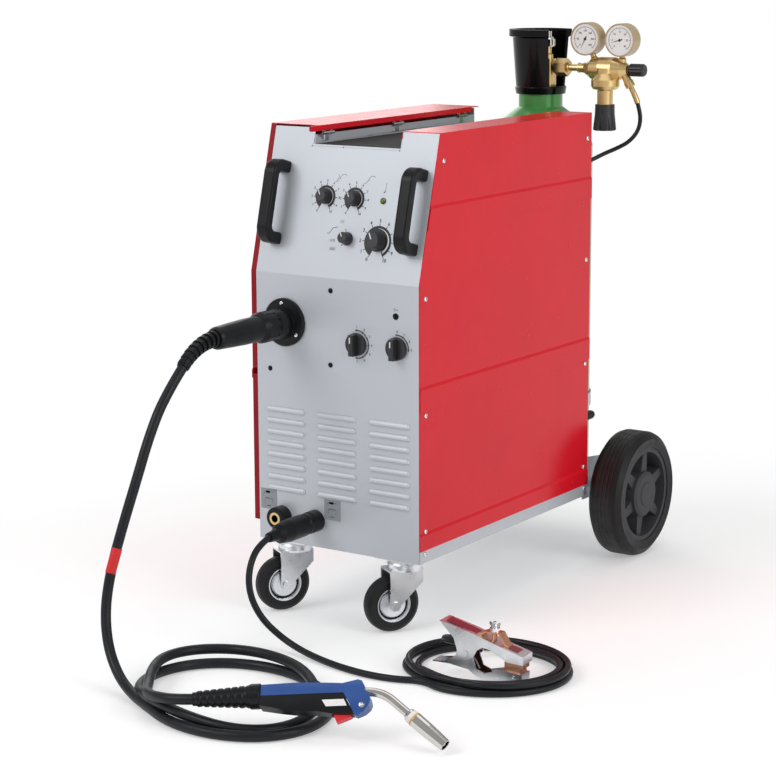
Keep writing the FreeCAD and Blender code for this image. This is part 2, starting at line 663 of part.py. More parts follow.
def clamp_arm(side, web, half):
    """Channel-shaped arm: two side plates and the web along one edge."""
    near = clamp_plate(side, half - CLAMP_SHEET, half)
    far = clamp_plate(side, -half, -half + CLAMP_SHEET)
    return joined(clamp_plate(web, -half, half), near, far)


def clamp_parts():
    upper_side = [(-42, 47), (7, 36), (73, 17), (104, 9), (104, -4), (78, -3), (60, 6), (47, 13), (33, 15), (22, 8), (16, -4),
                  (6, -10), (-6, -10), (-12, -4), (-15, 8), (-20, 24), (-40, 43)]
    upper_web = [(-46, 49), (-42, 49), (7, 38), (73, 19), (106, 10), (106, -4), (104, -4), (104, 8.5), (72, 17), (6, 36),
                 (-43, 47)]
    lower_side = [(-57, -21.5), (-34, -18), (-20, -8), (-12, 2), (-6, 7), (6, 7), (12, 2), (15, -10), (20, -24), (34, -29),
                  (60, -22), (76, -19), (99, -21), (99, -33), (60, -38), (40, -41), (20, -37), (6, -27), (-30, -22.4)]
    lower_web = [(-60, -21), (-30, -20.4), (6, -25), (20, -35), (40, -39), (60, -36), (101, -31), (101, -21), (103, -21),
                 (103, -33), (60, -38), (40, -41), (20, -37), (6, -27), (-30, -22.4), (-60, -23)]
    pin_hole = rod(CLAMP.at(0, 0, -30), CLAMP.w, PIVOT_RADIUS + 0.08, 60)
    bolt_hole = rod(CLAMP.at(47, 16, 0), CLAMP.v, 4.2, 24)
    upper = clamp_arm(upper_side, upper_web, CLAMP_UPPER_HALF).cut([pin_hole, bolt_hole])
    lower = clamp_arm(lower_side, lower_web, CLAMP_LOWER_HALF)
    pin = rod(CLAMP.at(0, 0, -CLAMP_UPPER_HALF - 1), CLAMP.w, PIVOT_RADIUS, 2 * CLAMP_UPPER_HALF + 2)
    heads = [rod(CLAMP.at(0, 0, s * (CLAMP_UPPER_HALF + 0.3)), CLAMP.w * s, PIVOT_RADIUS + 2.5, 1.5) for s in (-1, 1)]
    nodes["clamp_upper_arm"] = upper
    nodes["clamp_lower_arm"] = joined(lower, pin, *heads)
    upper_pad = clamp_plate([(70, -4.3), (104, -4.3), (104, -12), (70, -12)], -11, 11)
    pad_foot = clamp_plate([(78, -6), (98, -6), (98, 9.6), (78, 15)], -8, 8)
    strap = clamp_plate([(20, 34.6), (27, 32.6), (35, 38.1), (58, 38.1), (69, 21), (76, 18.6), (77, 21), (71, 23.5),
                         (60.5, 40.5), (33.5, 40.5), (24, 36.5)], -9, 9)
    bolt = joined(rod(CLAMP.at(47, 21, 0), CLAMP.v, 4, 30), rod(CLAMP.at(47, 40.5, 0), CLAMP.v, 8.5, 6))
    nodes["clamp_upper_contacts"] = group(joined(upper_pad, pad_foot), joined(strap, bolt))
    nodes["clamp_lower_contact"] = clamp_plate([(70, -20.6), (99, -20.8), (99, -12.5), (70, -12.5)], -11, 11)


# ---------------------------------------------------------------- torch
TORCH = Frame(V(371, -450, 72.5), V(0.893, 0.442, 0.0835), V(-0.333, 0.525, 0.784))
TORCH_TAIL = -269.0
BOOT_FRONT = -180.0
NECK_BEND = 58.0
NECK_TURN = 42.5
NECK_RADIUS_TUBE = 6.8
NECK_STRAIGHT = 34.0
NOZZLE_LENGTH = 64.0
HANDLE_OVAL = 33.0         # half height of the handle's oval section
OVAL_DROP = -9.5           # its middle below the cable's line
TRIGGER_PIVOT = (-29.0, -29.0)
TRIGGER_PIN = 1.1


def torch_block(outline, half_width):
    """Moulded handle shell: a side outline across the handle, its flanks rounded to an oval."""
    face = polygon(outline, TORCH.at(0, 0, -half_width), TORCH.u, TORCH.v)
    block = face.extrude(TORCH.w * (2 * half_width))
    oval = Part.Ellipse(V(0, 0, 0), HANDLE_OVAL, half_width)
    skin = Part.Face(Part.Wire(oval.toShape())).extrude(V(0, 0, -2 * TORCH_TAIL))
    across = Frame(TORCH.at(TORCH_TAIL, OVAL_DROP), TORCH.v, TORCH.w)
    return block.common(across.place(skin))


def neck_point(turn, straight=0.0):
    a = math.radians(turn)
    u = NECK_BEND * math.sin(a) + straight * math.cos(a)
    v = -NECK_BEND * (1 - math.cos(a)) - straight * math.sin(a)
    return TORCH.at(u, v)


def torch_parts():
    u = TORCH.u
    profile = [(0, 0), (10.5, 0), (10.5, 4)]
    ribs = 7
    for k in range(ribs):
        h = 6 + k * 11.0
        r = 11.0 + 0.75 * k
        profile += [(r, h), (r + 1.4, h + 2), (r + 1.4, h + 7), (r, h + 9)]
    profile += [(17.5, 86), (17.5, BOOT_FRONT - TORCH_TAIL), (0, BOOT_FRONT - TORCH_TAIL)]
    nodes["torch_rear_boot"] = turned(profile, TORCH.at(TORCH_TAIL, 0), u)
    collar = turned([(0, 0), (18.5, 0), (19.5, 2), (19.5, 16), (17.5, 18), (0, 18)], TORCH.at(BOOT_FRONT, 0), u)
    grip_outline = [(-163, -4.3), (-163, -19), (-130, -25.5), (-100, -30), (-72, -31), (-52, -35), (-30, -36.5),
                    (-18.8, -36.8), (-24.9, -22), (-34.3, -4.3)]
    grip = torch_block(grip_outline, 15)
    pocket = polygon([(-53, -50), (-53, -21.5), (-27, -21.5), (-21.5, -34), (-21.5, -50)], TORCH.at(0, 0, -6.4), u, TORCH.v)
    pocket = pocket.extrude(TORCH.w * 12.8)
    neck_hole = rod(TORCH.at(-30, 0), u, NECK_RADIUS_TUBE, 40)
    pin = rod(TORCH.at(*TRIGGER_PIVOT, -7.4), TORCH.w, TRIGGER_PIN, 14.8)
    nodes["torch_grip"] = joined(joined(collar, grip).cut([pocket, neck_hole]), pin)
    shell_outline = [(-161.5, -4), (-161.5, 15), (-110, 16.5), (-62, 14), (-36, 12), (-20.5, 16), (-13, 18), (-7, 15.5),
                     (-3, 8), (-1, -1), (5, -8.6), (7, -18), (4.5, -25), (-3, -33), (-14, -39), (-18.4, -36.6),
                     (-24.5, -21.9), (-33.9, -4)]
    nodes["torch_top_shell"] = torch_block(shell_outline, 15.4).cut(neck_hole)
    lever = [(-49.5, -26.5), (-49.5, -37), (-44.6, -48), (-22.4, -39.5), (-22.4, -35), (-30, -29)]
    trigger = polygon(lever, TORCH.at(0, 0, -6), u, TORCH.v).extrude(TORCH.w * 12)
    barrel = rod(TORCH.at(*TRIGGER_PIVOT, -6), TORCH.w, 3, 12)
    bore = rod(TORCH.at(*TRIGGER_PIVOT, -7), TORCH.w, TRIGGER_PIN + 0.07, 14)
    nodes["torch_trigger"] = joined(trigger, barrel).cut(bore)
    start = TORCH.at(-24, 0)
    bend = [Part.makeLine(start, TORCH.at(0, 0)),
            Part.Arc(TORCH.at(0, 0), neck_point(NECK_TURN / 2), neck_point(NECK_TURN)).toShape(),
            Part.makeLine(neck_point(NECK_TURN), neck_point(NECK_TURN, NECK_STRAIGHT))]
    section = Part.Wire(Part.makeCircle(NECK_RADIUS_TUBE, start, u))
    neck = Part.Wire(bend).makePipeShell([section], True, False)
    heading = (neck_point(NECK_TURN, 10) - neck_point(NECK_TURN)).normalize()
    end = neck_point(NECK_TURN, NECK_STRAIGHT - 2)
    collar = turned([(0, 0), (8.6, 0), (10.2, 2), (10.2, 12), (0, 12)], end, heading)
    nodes["torch_neck"] = joined(neck, collar)
    base = end + heading * 12
    nozzle = [(4.6, 0), (10.8, 0), (11.8, 3), (11.4, 28), (9.6, NOZZLE_LENGTH), (7.8, NOZZLE_LENGTH), (7.8, 4), (4.6, 4)]
    tip = [(0, 0), (4.6, 0), (4.6, 42), (3.9, 44), (2.6, NOZZLE_LENGTH - 2), (0, NOZZLE_LENGTH - 2)]
    nodes["torch_nozzle"] = group(turned(nozzle, base, heading), turned(tip, base, heading))


# ---------------------------------------------------------------- running gear
def rear_platform():
    t = PLATFORM_SHEET
    half = PLATFORM_HALF
    y0 = CABINET_LENGTH
    y1 = CYLINDER_Y + CYLINDER_RADIUS + 8
    floor = box(-half, half, y0, y1, PLATFORM_Z - t, PLATFORM_Z)
    low = PLATFORM_Z - t
    front = box(-half, half, y0, y0 + t, low, CHASSIS_Z + 60)
    profile = [(y0, low), (REAR_AXLE_Y - 36, low), (REAR_AXLE_Y - 20, REAR_WHEEL_RADIUS - 24), (REAR_AXLE_Y + 20, REAR_WHEEL_RADIUS - 24),
               (REAR_AXLE_Y + 36, low), (y1, low), (y1, low + 30), (y0, CHASSIS_Z + 60)]
    body = floor.fuse([front, prism_x(profile, -half, -half + t), prism_x(profile, half - t, half)])
    length = REAR_WHEEL_FACE_X - 12 - half
    seat = REAR_WHEEL_FACE_X - REAR_WHEEL_WIDTH - half - 0.4
    for side in (-1, 1):
        start = V(side * (half - t), REAR_AXLE_Y, REAR_WHEEL_RADIUS)
        body = body.fuse([rod(start, X_AXIS * side, REAR_AXLE_RADIUS, length + t),
                          rod(start, X_AXIS * side, REAR_AXLE_RADIUS + 7, seat + t)])
    return body.removeSplitter()


def rear_wheel(side):
    """Solid-tyred wheel: grooved tyre, and a rim with six spokes, a hub and a cap."""
    width = REAR_WHEEL_WIDTH
    r = REAR_WHEEL_RADIUS
    base = V(side * (REAR_WHEEL_FACE_X - width), REAR_AXLE_Y, REAR_WHEEL_RADIUS)
    out = X_AXIS * side
    tyre = turned([(RIM_RADIUS, 3), (r - 14, 0), (r - 3, 8), (r, 16), (r, width - 16), (r - 3, width - 8), (r - 14, width),
                   (RIM_RADIUS, width - 3)], base, out)
    rim_ring = turned([(RIM_RADIUS - 9, 5), (RIM_RADIUS, 5), (RIM_RADIUS, width - 5), (RIM_RADIUS - 9, width - 5)], base, out)
    hub = turned([(0, 0), (26, 0), (26, 8), (HUB_RADIUS, 12), (HUB_RADIUS, width - 6), (HUB_RADIUS - 6, width - 2), (24, width - 2),
                  (22.5, width), (0, width)], base, out)
    spokes = []
    for k in range(6):
        foot = HUB_RADIUS - 5
        tip = RIM_RADIUS - 5
        spoke = prism_x([(foot, -12), (tip, -7), (tip, 7), (foot, 12)], 8, width - 12)
        spoke.rotate(V(0, 0, 0), X_AXIS, 60 * k + SPOKE_TURN)
        if side < 0:
            spoke = spoke.mirror(V(0, 0, 0), X_AXIS)
        spoke.translate(base)
        spokes.append(spoke)
    bore = rod(base - out, out, REAR_AXLE_RADIUS + 0.1, width - 10.5)
    rim = rim_ring.fuse([hub] + spokes).cut(bore).removeSplitter()
    return group(tyre, rim)


def caster_frame(side):
    """Axes of a caster: u along its axle, v upwards, w towards its trail."""
    a = math.radians(CASTER_YAW)
    return Frame(V(side * CASTER_X, CASTER_Y, 0), V(math.cos(a), math.sin(a), 0), Z_AXIS)


def caster_parts(side, name, plates):
    frame = caster_frame(side)
    half = CASTER_WIDTH / 2
    pivot = frame.at(0, 0)
    plate = box(pivot.x - 42, pivot.x + 42, CASTER_Y - 32, CASTER_Y + 42, CHASSIS_Z - 3, CHASSIS_Z)
    pin = rod(V(pivot.x, pivot.y, CHASSIS_Z - 24), Z_AXIS, KINGPIN, 22)
    head = turned([(0, -26), (9, -26), (9, -23), (0, -23)], V(pivot.x, pivot.y, CHASSIS_Z), Z_AXIS)
    plates.append(joined(plate, pin, head))
    crown_z = CHASSIS_Z - 22.5
    race = turned([(KINGPIN + 0.1, 0), (30, 0), (31, 4), (31, 12), (26, 19), (KINGPIN + 0.1, 19)],
                  V(pivot.x, pivot.y, crown_z), Z_AXIS)
    crown = frame.place(Part.makeBox(2 * half + 14, 3, 62, V(-half - 7, crown_z, -26)))
    crown = crown.cut(rod(V(pivot.x, pivot.y, crown_z - 1), Z_AXIS, KINGPIN + 0.1, 6))
    leg = [(-26, crown_z + 3), (36, crown_z + 3), (36, crown_z - 20), (CASTER_TRAIL + 10, CASTER_RADIUS),
           (CASTER_TRAIL + 6, CASTER_RADIUS - 9), (CASTER_TRAIL - 6, CASTER_RADIUS - 9), (CASTER_TRAIL - 10, CASTER_RADIUS),
           (-26, crown_z - 20)]
    legs = []
    for s in (-1, 1):
        inner = half + 4
        start = frame.at(s * inner, 0)
        legs.append(polygon(leg, start, frame.w, frame.v).extrude(frame.u * (3 * s)))
    axle = rod(frame.at(-half - 10, CASTER_RADIUS, CASTER_TRAIL), frame.u, CASTER_AXLE, 2 * half + 20)
    nut = turned([(0, 0), (7.5, 0), (7.5, 4), (0, 4)], frame.at(half + 7, CASTER_RADIUS, CASTER_TRAIL), frame.u)
    nodes["caster_fork_" + name] = race.fuse([crown, axle, nut] + legs).removeSplitter()
    base = frame.at(-half, CASTER_RADIUS, CASTER_TRAIL)
    w = CASTER_WIDTH
    r = CASTER_RADIUS
    tyre = turned([(31, 2), (r - 8, 0), (r - 2, 5), (r, 11), (r, w - 11), (r - 2, w - 5), (r - 8, w), (31, w - 2)], base, frame.u)
    bore = CASTER_AXLE + 0.08
    rim = turned([(bore, -3), (10, -3), (10, 1), (22, 3), (24.5, 7), (27, 7), (29, 1), (31, 1), (31, w - 1), (29, w - 1), (27, w - 7),
                  (24.5, w - 7), (22, w - 3), (10, w - 1), (10, w + 3), (bore, w + 3)], base, frame.u)
    nodes["caster_wheel_" + name] = group(tyre, rim)


# ---------------------------------------------------------------- gas supply
def gas_cylinder():
    r = CYLINDER_RADIUS
    t = CYLINDER_WALL
    outer = [(0, PLATFORM_Z), (r - 14, PLATFORM_Z), (r - 4, PLATFORM_Z + 5), (r, PLATFORM_Z + 16), (r, SHOULDER_Z),
             (r - 8, SHOULDER_Z + 26), (r - 22, SHOULDER_Z + 46), (64, SHOULDER_Z + 58), (NECK_RADIUS, SHOULDER_Z + 74),
             (NECK_RADIUS, NECK_TOP_Z)]
    inner = [(13, NECK_TOP_Z), (13, SHOULDER_Z + 70), (58, SHOULDER_Z + 48), (r - 26, SHOULDER_Z + 38), (r - 13, SHOULDER_Z + 20), (r - t, SHOULDER_Z),
             (r - t, PLATFORM_Z + 24), (r - 22, PLATFORM_Z + 12), (0, PLATFORM_Z + 12)]
    return turned(outer + inner, V(0, CYLINDER_Y, 0), Z_AXIS)


def cylinder_cap():
    """Valve guard: a flared cup with a rolled rim, open towards the regulator."""
    z = NECK_TOP_Z
    top = CAP_TOP_Z
    shell = turned([(14, z), (48, z), (50, z + 12), (48, z + 14), (55, top - 16), (62, top - 13), (62, top), (50, top),
                    (43, z + 8), (14, z + 8)], V(0, CYLINDER_Y, 0), Z_AXIS)
    window = []
    for half in (50.0, -50.0):
        a = math.radians(half)
        window.append((100 * math.cos(a), CYLINDER_Y + 100 * math.sin(a)))
    opening = prism_z([(12, CYLINDER_Y)] + window[::-1], z + 15, top + 10)
    return shell.cut(opening)


def gas_valve():
    y = CYLINDER_Y
    stem = rod(V(0, y, NECK_TOP_Z - 24), Z_AXIS, 12.9, 30)
    body = box(-13, 29, y - 13, y + 13, NECK_TOP_Z + 8.3, PIPE_Z + 16)
    body = rounded(body, 5, lambda e: e.Length > 45)
    spindle = turned([(0, 0), (10, 0), (10, 8), (7, 10), (7, 22), (0, 22)], V(VALVE_X, y, PIPE_Z + 16), Z_AXIS)
    outlet = rod(V(20, y, PIPE_Z), X_AXIS, 11, 16)
    nodes["cylinder_valve"] = joined(stem, body, spindle, outlet)
    hub_z = PIPE_Z + 38.3
    knob = turned([(0, 0), (11, 0), (14, 3), (14, 14), (11, 18), (7, 20), (7, 30), (0, 30)], V(VALVE_X, y, hub_z), Z_AXIS)
    flutes = []
    for k in range(6):
        a = math.radians(60 * k)
        flutes.append(rod(V(VALVE_X + 17 * math.cos(a), y + 17 * math.sin(a), hub_z), Z_AXIS, 5, 15))
    nodes["valve_handwheel"] = knob.cut(flutes)


def regulator():
    y = CYLINDER_Y
    hexagon = [(15 * math.cos(math.radians(60 * k)) / math.cos(math.radians(30)), 15 * math.sin(math.radians(60 * k)) / math.cos(math.radians(30)))
               for k in range(6)]
    nut = polygon(hexagon, V(36.3, y, PIPE_Z), Z_AXIS, Y_AXIS).extrude(V(24, 0, 0))
    pipe = rod(V(60, y, PIPE_Z), X_AXIS, 6.5, 44)
    collar = rod(V(86, y, PIPE_Z), X_AXIS, 9, 16)
    body = turned([(0, 0), (11, 0), (20, 14), (23, 34), (23, 62), (18, 78), (10, 90), (0, 90)], V(100, y, PIPE_Z - 1), X_AXIS)
    bonnet = turned([(0, 0), (15, 0), (15, 26), (24, 29), (27, 34), (27, 46), (20, 54), (16, 58), (16, 68), (0, 68)],
                    V(BONNET_X, y - 14, PIPE_Z - 66), Z_AXIS)
    stems = [turned([(0, 0), (8, 0), (8, 9), (5.5, 12), (5.5, 26), (0, 26)], V(x, y, PIPE_Z + 10), V(dx, 0, 1)) for x, dx in ((120, -0.35), (177, 0.0))]
    side = rod(V(186, y, PIPE_Z - 1), X_AXIS, 5, 6)
    outlet = turned([(0, 0), (8, 0), (8, 12), (9.5, 13), (9.5, 24), (5, 26), (5, 38), (0, 38)], V(184, y, PIPE_Z - 12), V(0.5, 0, -0.86))
    cases = [rod(V(x, y + GAUGE_DEPTH / 2 + 1, z), -Y_AXIS, GAUGE_RADIUS + 0.2, GAUGE_DEPTH + 2) for x, z in GAUGES]
    stems = [stem.cut(case) for stem, case in zip(stems, cases)]
    nodes["regulator_body"] = joined(nut, pipe, collar, body, bonnet, side, outlet, *stems)
    nodes["regulator_knob"] = turned(
        [(0, 0), (21, 0), (22, 3), (19, 30), (18.5, 49), (0, 49)], V(BONNET_X, y - 14, PIPE_Z - 115.4), Z_AXIS).cut(
        [rod(V(BONNET_X + 24 * math.cos(math.radians(45 * k)), y - 14 + 24 * math.sin(math.radians(45 * k)), PIPE_Z - 116), Z_AXIS, 5, 30)
         for k in range(8)])
    nodes["outlet_knob"] = turned([(0, 0), (8, 0), (12, 4), (12, 30), (10, 33), (0, 33)], V(192.3, y, PIPE_Z - 1), X_AXIS).cut(
        [rod(V(196, y + 14.5 * math.cos(math.radians(60 * k)), PIPE_Z - 1 + 14.5 * math.sin(math.radians(60 * k))), X_AXIS, 4, 31)
         for k in range(6)])


def gauges():
    built = []
    for x, z in GAUGES:
        r = GAUGE_RADIUS
        profile = [(0, 0), (r - 4, 0), (r, 3), (r, GAUGE_DEPTH), (r - 2.2, GAUGE_DEPTH), (r - 2.2, GAUGE_DEPTH - 1.5),
                   (0, GAUGE_DEPTH - 1.5)]
        built.append(turned(profile, V(x, CYLINDER_Y + GAUGE_DEPTH / 2, z), -Y_AXIS))
    return group(*built)


HOSE_ROUTE = [(208.5, 697, 885), (214, 698, 868), (217, 700, 846), (213, 697, 824), (199, 688, 804), (180, 674, 792),
              (163, 658, 783), (150, 643, 774), (142, 627, 768), (140, 612, 765)]


def rear_fittings():
    y = CABINET_LENGTH
    inlet = turned([(0, 0), (12.5, 0), (12.5, 18), (8, 22), (5.5, 24), (0, 24)], V(140, y, 765), Y_AXIS)
    gland = turned([(0, 0), (11, 0), (11, 5), (9, 7), (8.5, 36), (7, 41), (4.5, 41), (4.5, 5), (0, 5)],
                   V(159.5, y, 282.5), Y_AXIS)
    return group(inlet, gland)


def cylinder_strap():
    """Steel strap round the cylinder, bolted to the rear panel by two feet."""
    inner = CYLINDER_RADIUS + 0.3
    outer = inner + 3
    z0 = 276
    z1 = 302
    y0 = CABINET_LENGTH
    bow = ring(V(0, CYLINDER_Y, z0), Z_AXIS, outer, inner, z1 - z0).cut(box(-200, 200, 0, CYLINDER_Y, z0 - 1, z1 + 1))
    parts = []
    for side in (-1, 1):
        xs = sorted((side * inner, side * outer))
        parts.append(box(xs[0], xs[1], y0, CYLINDER_Y, z0, z1))
        feet = sorted((side * inner, side * (outer + 40)))
        parts.append(box(feet[0], feet[1], y0, y0 + 3, z0, z1))
    return joined(bow, *parts)


# ---------------------------------------------------------------- inside
def wire_spool():
    face = V(SPOOL_X, SPOOL_Y, SPOOL_Z)
    w = SPOOL_WIDTH
    r = SPOOL_RADIUS
    profile = [(SPOOL_CORE, 0), (r, 0), (r, 4), (r - 30, 4), (r - 30, w - 4), (r, w - 4), (r, w), (SPOOL_CORE, w)]
    return turned(profile, face, X_AXIS)


def spool_hub():
    start = V(PARTITION_X - SIDE_SHEET, SPOOL_Y, SPOOL_Z)
    flange = rod(start, -X_AXIS, 45, 4)
    length = start.x - SPOOL_X
    pin = rod(start, -X_AXIS, SPOOL_CORE - 0.1, length)
    nut = rod(start - X_AXIS * length, -X_AXIS, 20, 8)
    return joined(flange, pin, nut)


def feeder_unit():
    """Four-roll wire drive: plate, rolls, pressure arms and the gear motor."""
    x1 = PARTITION_X - SIDE_SHEET
    x = TORCH_SOCKET[0]
    z = TORCH_SOCKET[1]
    plate = box(x + 18, x1, 75, 205, z - 45, z + 40)
    plate = rounded(plate, 8, lambda e: e.Length > 40 and abs(mid(e).z - z) > 38 and abs(mid(e).y - 140) > 60)
    pieces = []
    for y in (110, 170):
        pieces.append(rod(V(x + 18, y, z - 19), -X_AXIS, 18.5, 26))
        pieces.append(rod(V(x + 18, y, z + 19), -X_AXIS, 18.5, 26))
        pieces.append(rod(V(x + 8, y, z + 36), Z_AXIS, 6, 26))
        pieces.append(rod(V(x + 8, y, z + 52), Z_AXIS, 10, 18))
    pieces.append(box(x - 8, x + 18, 100, 182, z + 30, z + 40))
    for y in (60, 190):
        pieces.append(rod(V(x, y, z), Y_AXIS, 6, 30))
        pieces.append(box(x, x + 20, y + 10, y + 20, z - 4, z + 4))
    return joined(plate, *pieces)


def transformer():
    x0, x1, y0, y1 = -110, 120, 190, 420
    z0 = CHASSIS_Z + FRONT_SHEET
    core = box(x0, x1, y0 + 30, y1 - 30, z0, z0 + 190)
    limbs = [box(x0 + 35 + k * 57, x0 + 81 + k * 57, y0, y1, z0 + 40, z0 + 150) for k in range(3)]
    return joined(core, *limbs)


# ---------------------------------------------------------------- build
def build():
    nodes["base_tray"] = base_tray()
    nodes["front_panel"] = front_panel()
    nodes["rear_panel"] = rear_panel()
    right_panels()
    nodes["left_lower_panel"] = left_lower_panel()
    nodes["feeder_door"] = feeder_door()
    nodes["top_channel"] = top_channel()
    nodes["feeder_bay"] = group(feeder_bay(), spool_hub())
    nodes["front_handles"] = front_handles()
    nodes["spot_time_knob"] = pot_knob(SLOPE, SPOT_TIME, 12.5, 17)
    nodes["soft_start_knob"] = pot_knob(SLOPE, SOFT_START, 12.5, 17)
    nodes["mode_knob"] = pot_knob(SLOPE, MODE_SWITCH, 11.5, 17)
    nodes["wire_speed_knob"] = pot_knob(SLOPE, WIRE_SPEED, 17, 20)
    nodes["coarse_step_knob"] = cam_knob(FRONT, COARSE_STEP, 20, 22)
    nodes["fine_step_knob"] = cam_knob(FRONT, FINE_STEP, 20, 22)
    nodes["control_units"] = group(*control_units(), *lamps())
    nodes["torch_socket"] = torch_socket()
    nodes["torch_plug"] = group(torch_plug(), torch_plug_boot())
    torch_parts()
    coil = torch_cable_coil().cut(nodes["torch_grip"])
    nodes["torch_cable_coil"] = coil
    nodes["torch_cable"] = cord(TORCH_ROUTE, TORCH_CABLE, "torch cable").cut([coil, nodes["torch_plug"]])
    end = cord(TORCH_END_ROUTE, TORCH_CABLE, "torch cable end")
    nodes["torch_cable_end"] = end.cut([coil, nodes["torch_rear_boot"]])
    nodes["earth_sockets"] = earth_sockets()
    nodes["earth_plug"] = earth_plug()
    coil = earth_cable_coil()
    nodes["earth_cable_coil"] = coil
    nodes["earth_cable"] = cord(EARTH_ROUTE, EARTH_CABLE, "earth cable").cut([coil, nodes["earth_plug"]])
    nodes["earth_cable_end"] = cord(EARTH_END_ROUTE, EARTH_CABLE, "earth cable end").cut(coil)
    clamp_parts()
    nodes["rear_platform"] = rear_platform()
    nodes["rear_wheel_left"] = rear_wheel(-1)
    nodes["rear_wheel_right"] = rear_wheel(1)
    plates = []
    caster_parts(-1, "left", plates)
    caster_parts(1, "right", plates)
    nodes["caster_plates"] = group(*plates)
    nodes["gas_cylinder"] = gas_cylinder()
    nodes["cylinder_cap"] = cylinder_cap()
    gas_valve()
    regulator()
    nodes["pressure_gauges"] = gauges()
    nodes["gas_hose"] = cord(HOSE_ROUTE, GAS_HOSE, "gas hose")
    nodes["rear_fittings"] = rear_fittings()
    nodes["cylinder_strap"] = cylinder_strap()
    nodes["wire_spool"] = wire_spool()
    nodes["feeder_unit"] = feeder_unit()
    nodes["transformer"] = transformer()


def export():
    os.makedirs("parts", exist_ok=True)
    for name, shape in nodes.items():
        moved = shape.copy()
        moved.translate(V(-ORIGIN_X, -ORIGIN_Y, 0))
        moved.exportStep(os.path.join("parts", name + ".step"))


build()
export()
print(len(nodes), "nodes")
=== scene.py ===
"""Looks of a MIG welding machine on its cart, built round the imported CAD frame."""

import logging
import math
from dataclasses import dataclass
from enum import Enum
from typing import Callable, Iterable, Sequence

import bmesh
import bpy
from mathutils import Matrix, Vector


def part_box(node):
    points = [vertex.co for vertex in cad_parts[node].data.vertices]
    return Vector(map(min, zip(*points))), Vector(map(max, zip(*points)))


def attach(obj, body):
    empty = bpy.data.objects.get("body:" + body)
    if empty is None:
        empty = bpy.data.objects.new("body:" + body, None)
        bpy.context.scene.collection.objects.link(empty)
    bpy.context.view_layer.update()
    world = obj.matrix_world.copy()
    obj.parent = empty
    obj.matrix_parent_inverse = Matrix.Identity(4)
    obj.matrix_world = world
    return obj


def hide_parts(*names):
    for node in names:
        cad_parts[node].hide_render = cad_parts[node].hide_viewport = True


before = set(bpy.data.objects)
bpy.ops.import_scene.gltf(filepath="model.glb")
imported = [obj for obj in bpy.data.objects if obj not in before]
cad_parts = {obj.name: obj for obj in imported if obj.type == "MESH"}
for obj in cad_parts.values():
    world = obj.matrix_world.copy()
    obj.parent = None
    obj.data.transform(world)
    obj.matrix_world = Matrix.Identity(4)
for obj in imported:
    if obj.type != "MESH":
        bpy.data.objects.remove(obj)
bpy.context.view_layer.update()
LOG = logging.getLogger("welder")
MM = 0.001
SEED = 7

Point = Sequence[float]


# ---------------------------------------------------------------- places
CABINET_HALF_WIDTH = 172.5
CABINET_LENGTH = 588.0
FRONT_EDGE_X = 171.0
CYLINDER_Y = 697.0          # middle of the gas cylinder
PIPE_Z = 940.0              # middle of the regulator's inlet pipe
HINGE_PLACES = (95.0, 315.0, 536.5)
ORIGIN = Vector((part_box("front_panel")[1].x - FRONT_EDGE_X * MM,
                 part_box("rear_panel")[1].y - CABINET_LENGTH * MM, 0.0))


@dataclass(frozen=True)
class Seat:
    """A local frame on the machine: a corner point and two directions.

    Millimetres, counted from the cabinet's own zero.
    """

    corner: tuple[float, float, float]
    along: tuple[float, float, float]
    up: tuple[float, float, float]

    @property
    def u(self) -> Vector:
        """Unit vector along the seat."""
        return Vector(self.along).normalized()

    @property
    def v(self) -> Vector:
        """Unit vector up the seat, square to u."""
        raw = Vector(self.up)
        return (raw - self.u * raw.dot(self.u)).normalized()

    @property
    def w(self) -> Vector:
        """Unit vector out of the seat."""
        return self.u.cross(self.v)

    def at(self, a: float, b: float, c: float = 0.0) -> Vector:
        """A point in the row frame, in metres, from seat millimetres."""
        spot = Vector(self.corner) + self.u * a + self.v * b + self.w * c
        return ORIGIN + spot * MM

    def matrix(self, a: float = 0.0, b: float = 0.0, c: float = 0.0) -> Matrix:
        """Matrix that carries seat metres into the row frame.

        Args:
            a: place along u, in millimetres.
            b: place along v, in millimetres.
            c: place along w, in millimetres.

        Returns:
            A 4 x 4 matrix whose z axis is the seat's w.
        """
        turn = Matrix((self.u, self.v, self.w)).transposed().to_4x4()
        return Matrix.Translation(self.at(a, b, c)) @ turn


def cab(x: float, y: float, z: float) -> Vector:
    """A point in the row frame, in metres, from cabinet millimetres."""
    return ORIGIN + Vector((x, y, z)) * MM


LEAN = math.atan2(65.6, 865.4 - 614.0)
FRONT = Seat((0, 0, 0), (1, 0, 0), (0, 0, 1))
SLOPE = Seat((0, 0, 614), (1, 0, 0), (0, math.sin(LEAN), math.cos(LEAN)))
RIGHT = Seat((CABINET_HALF_WIDTH, 0, 0), (0, 1, 0), (0, 0, 1))
TORCH = Seat((371, -450, 72.5), (0.893, 0.442, 0.0835), (-0.333, 0.525, 0.784))
CLAMP = Seat((353, -130, 47), (0.998, 0.07, 0), (0, 0, 1))


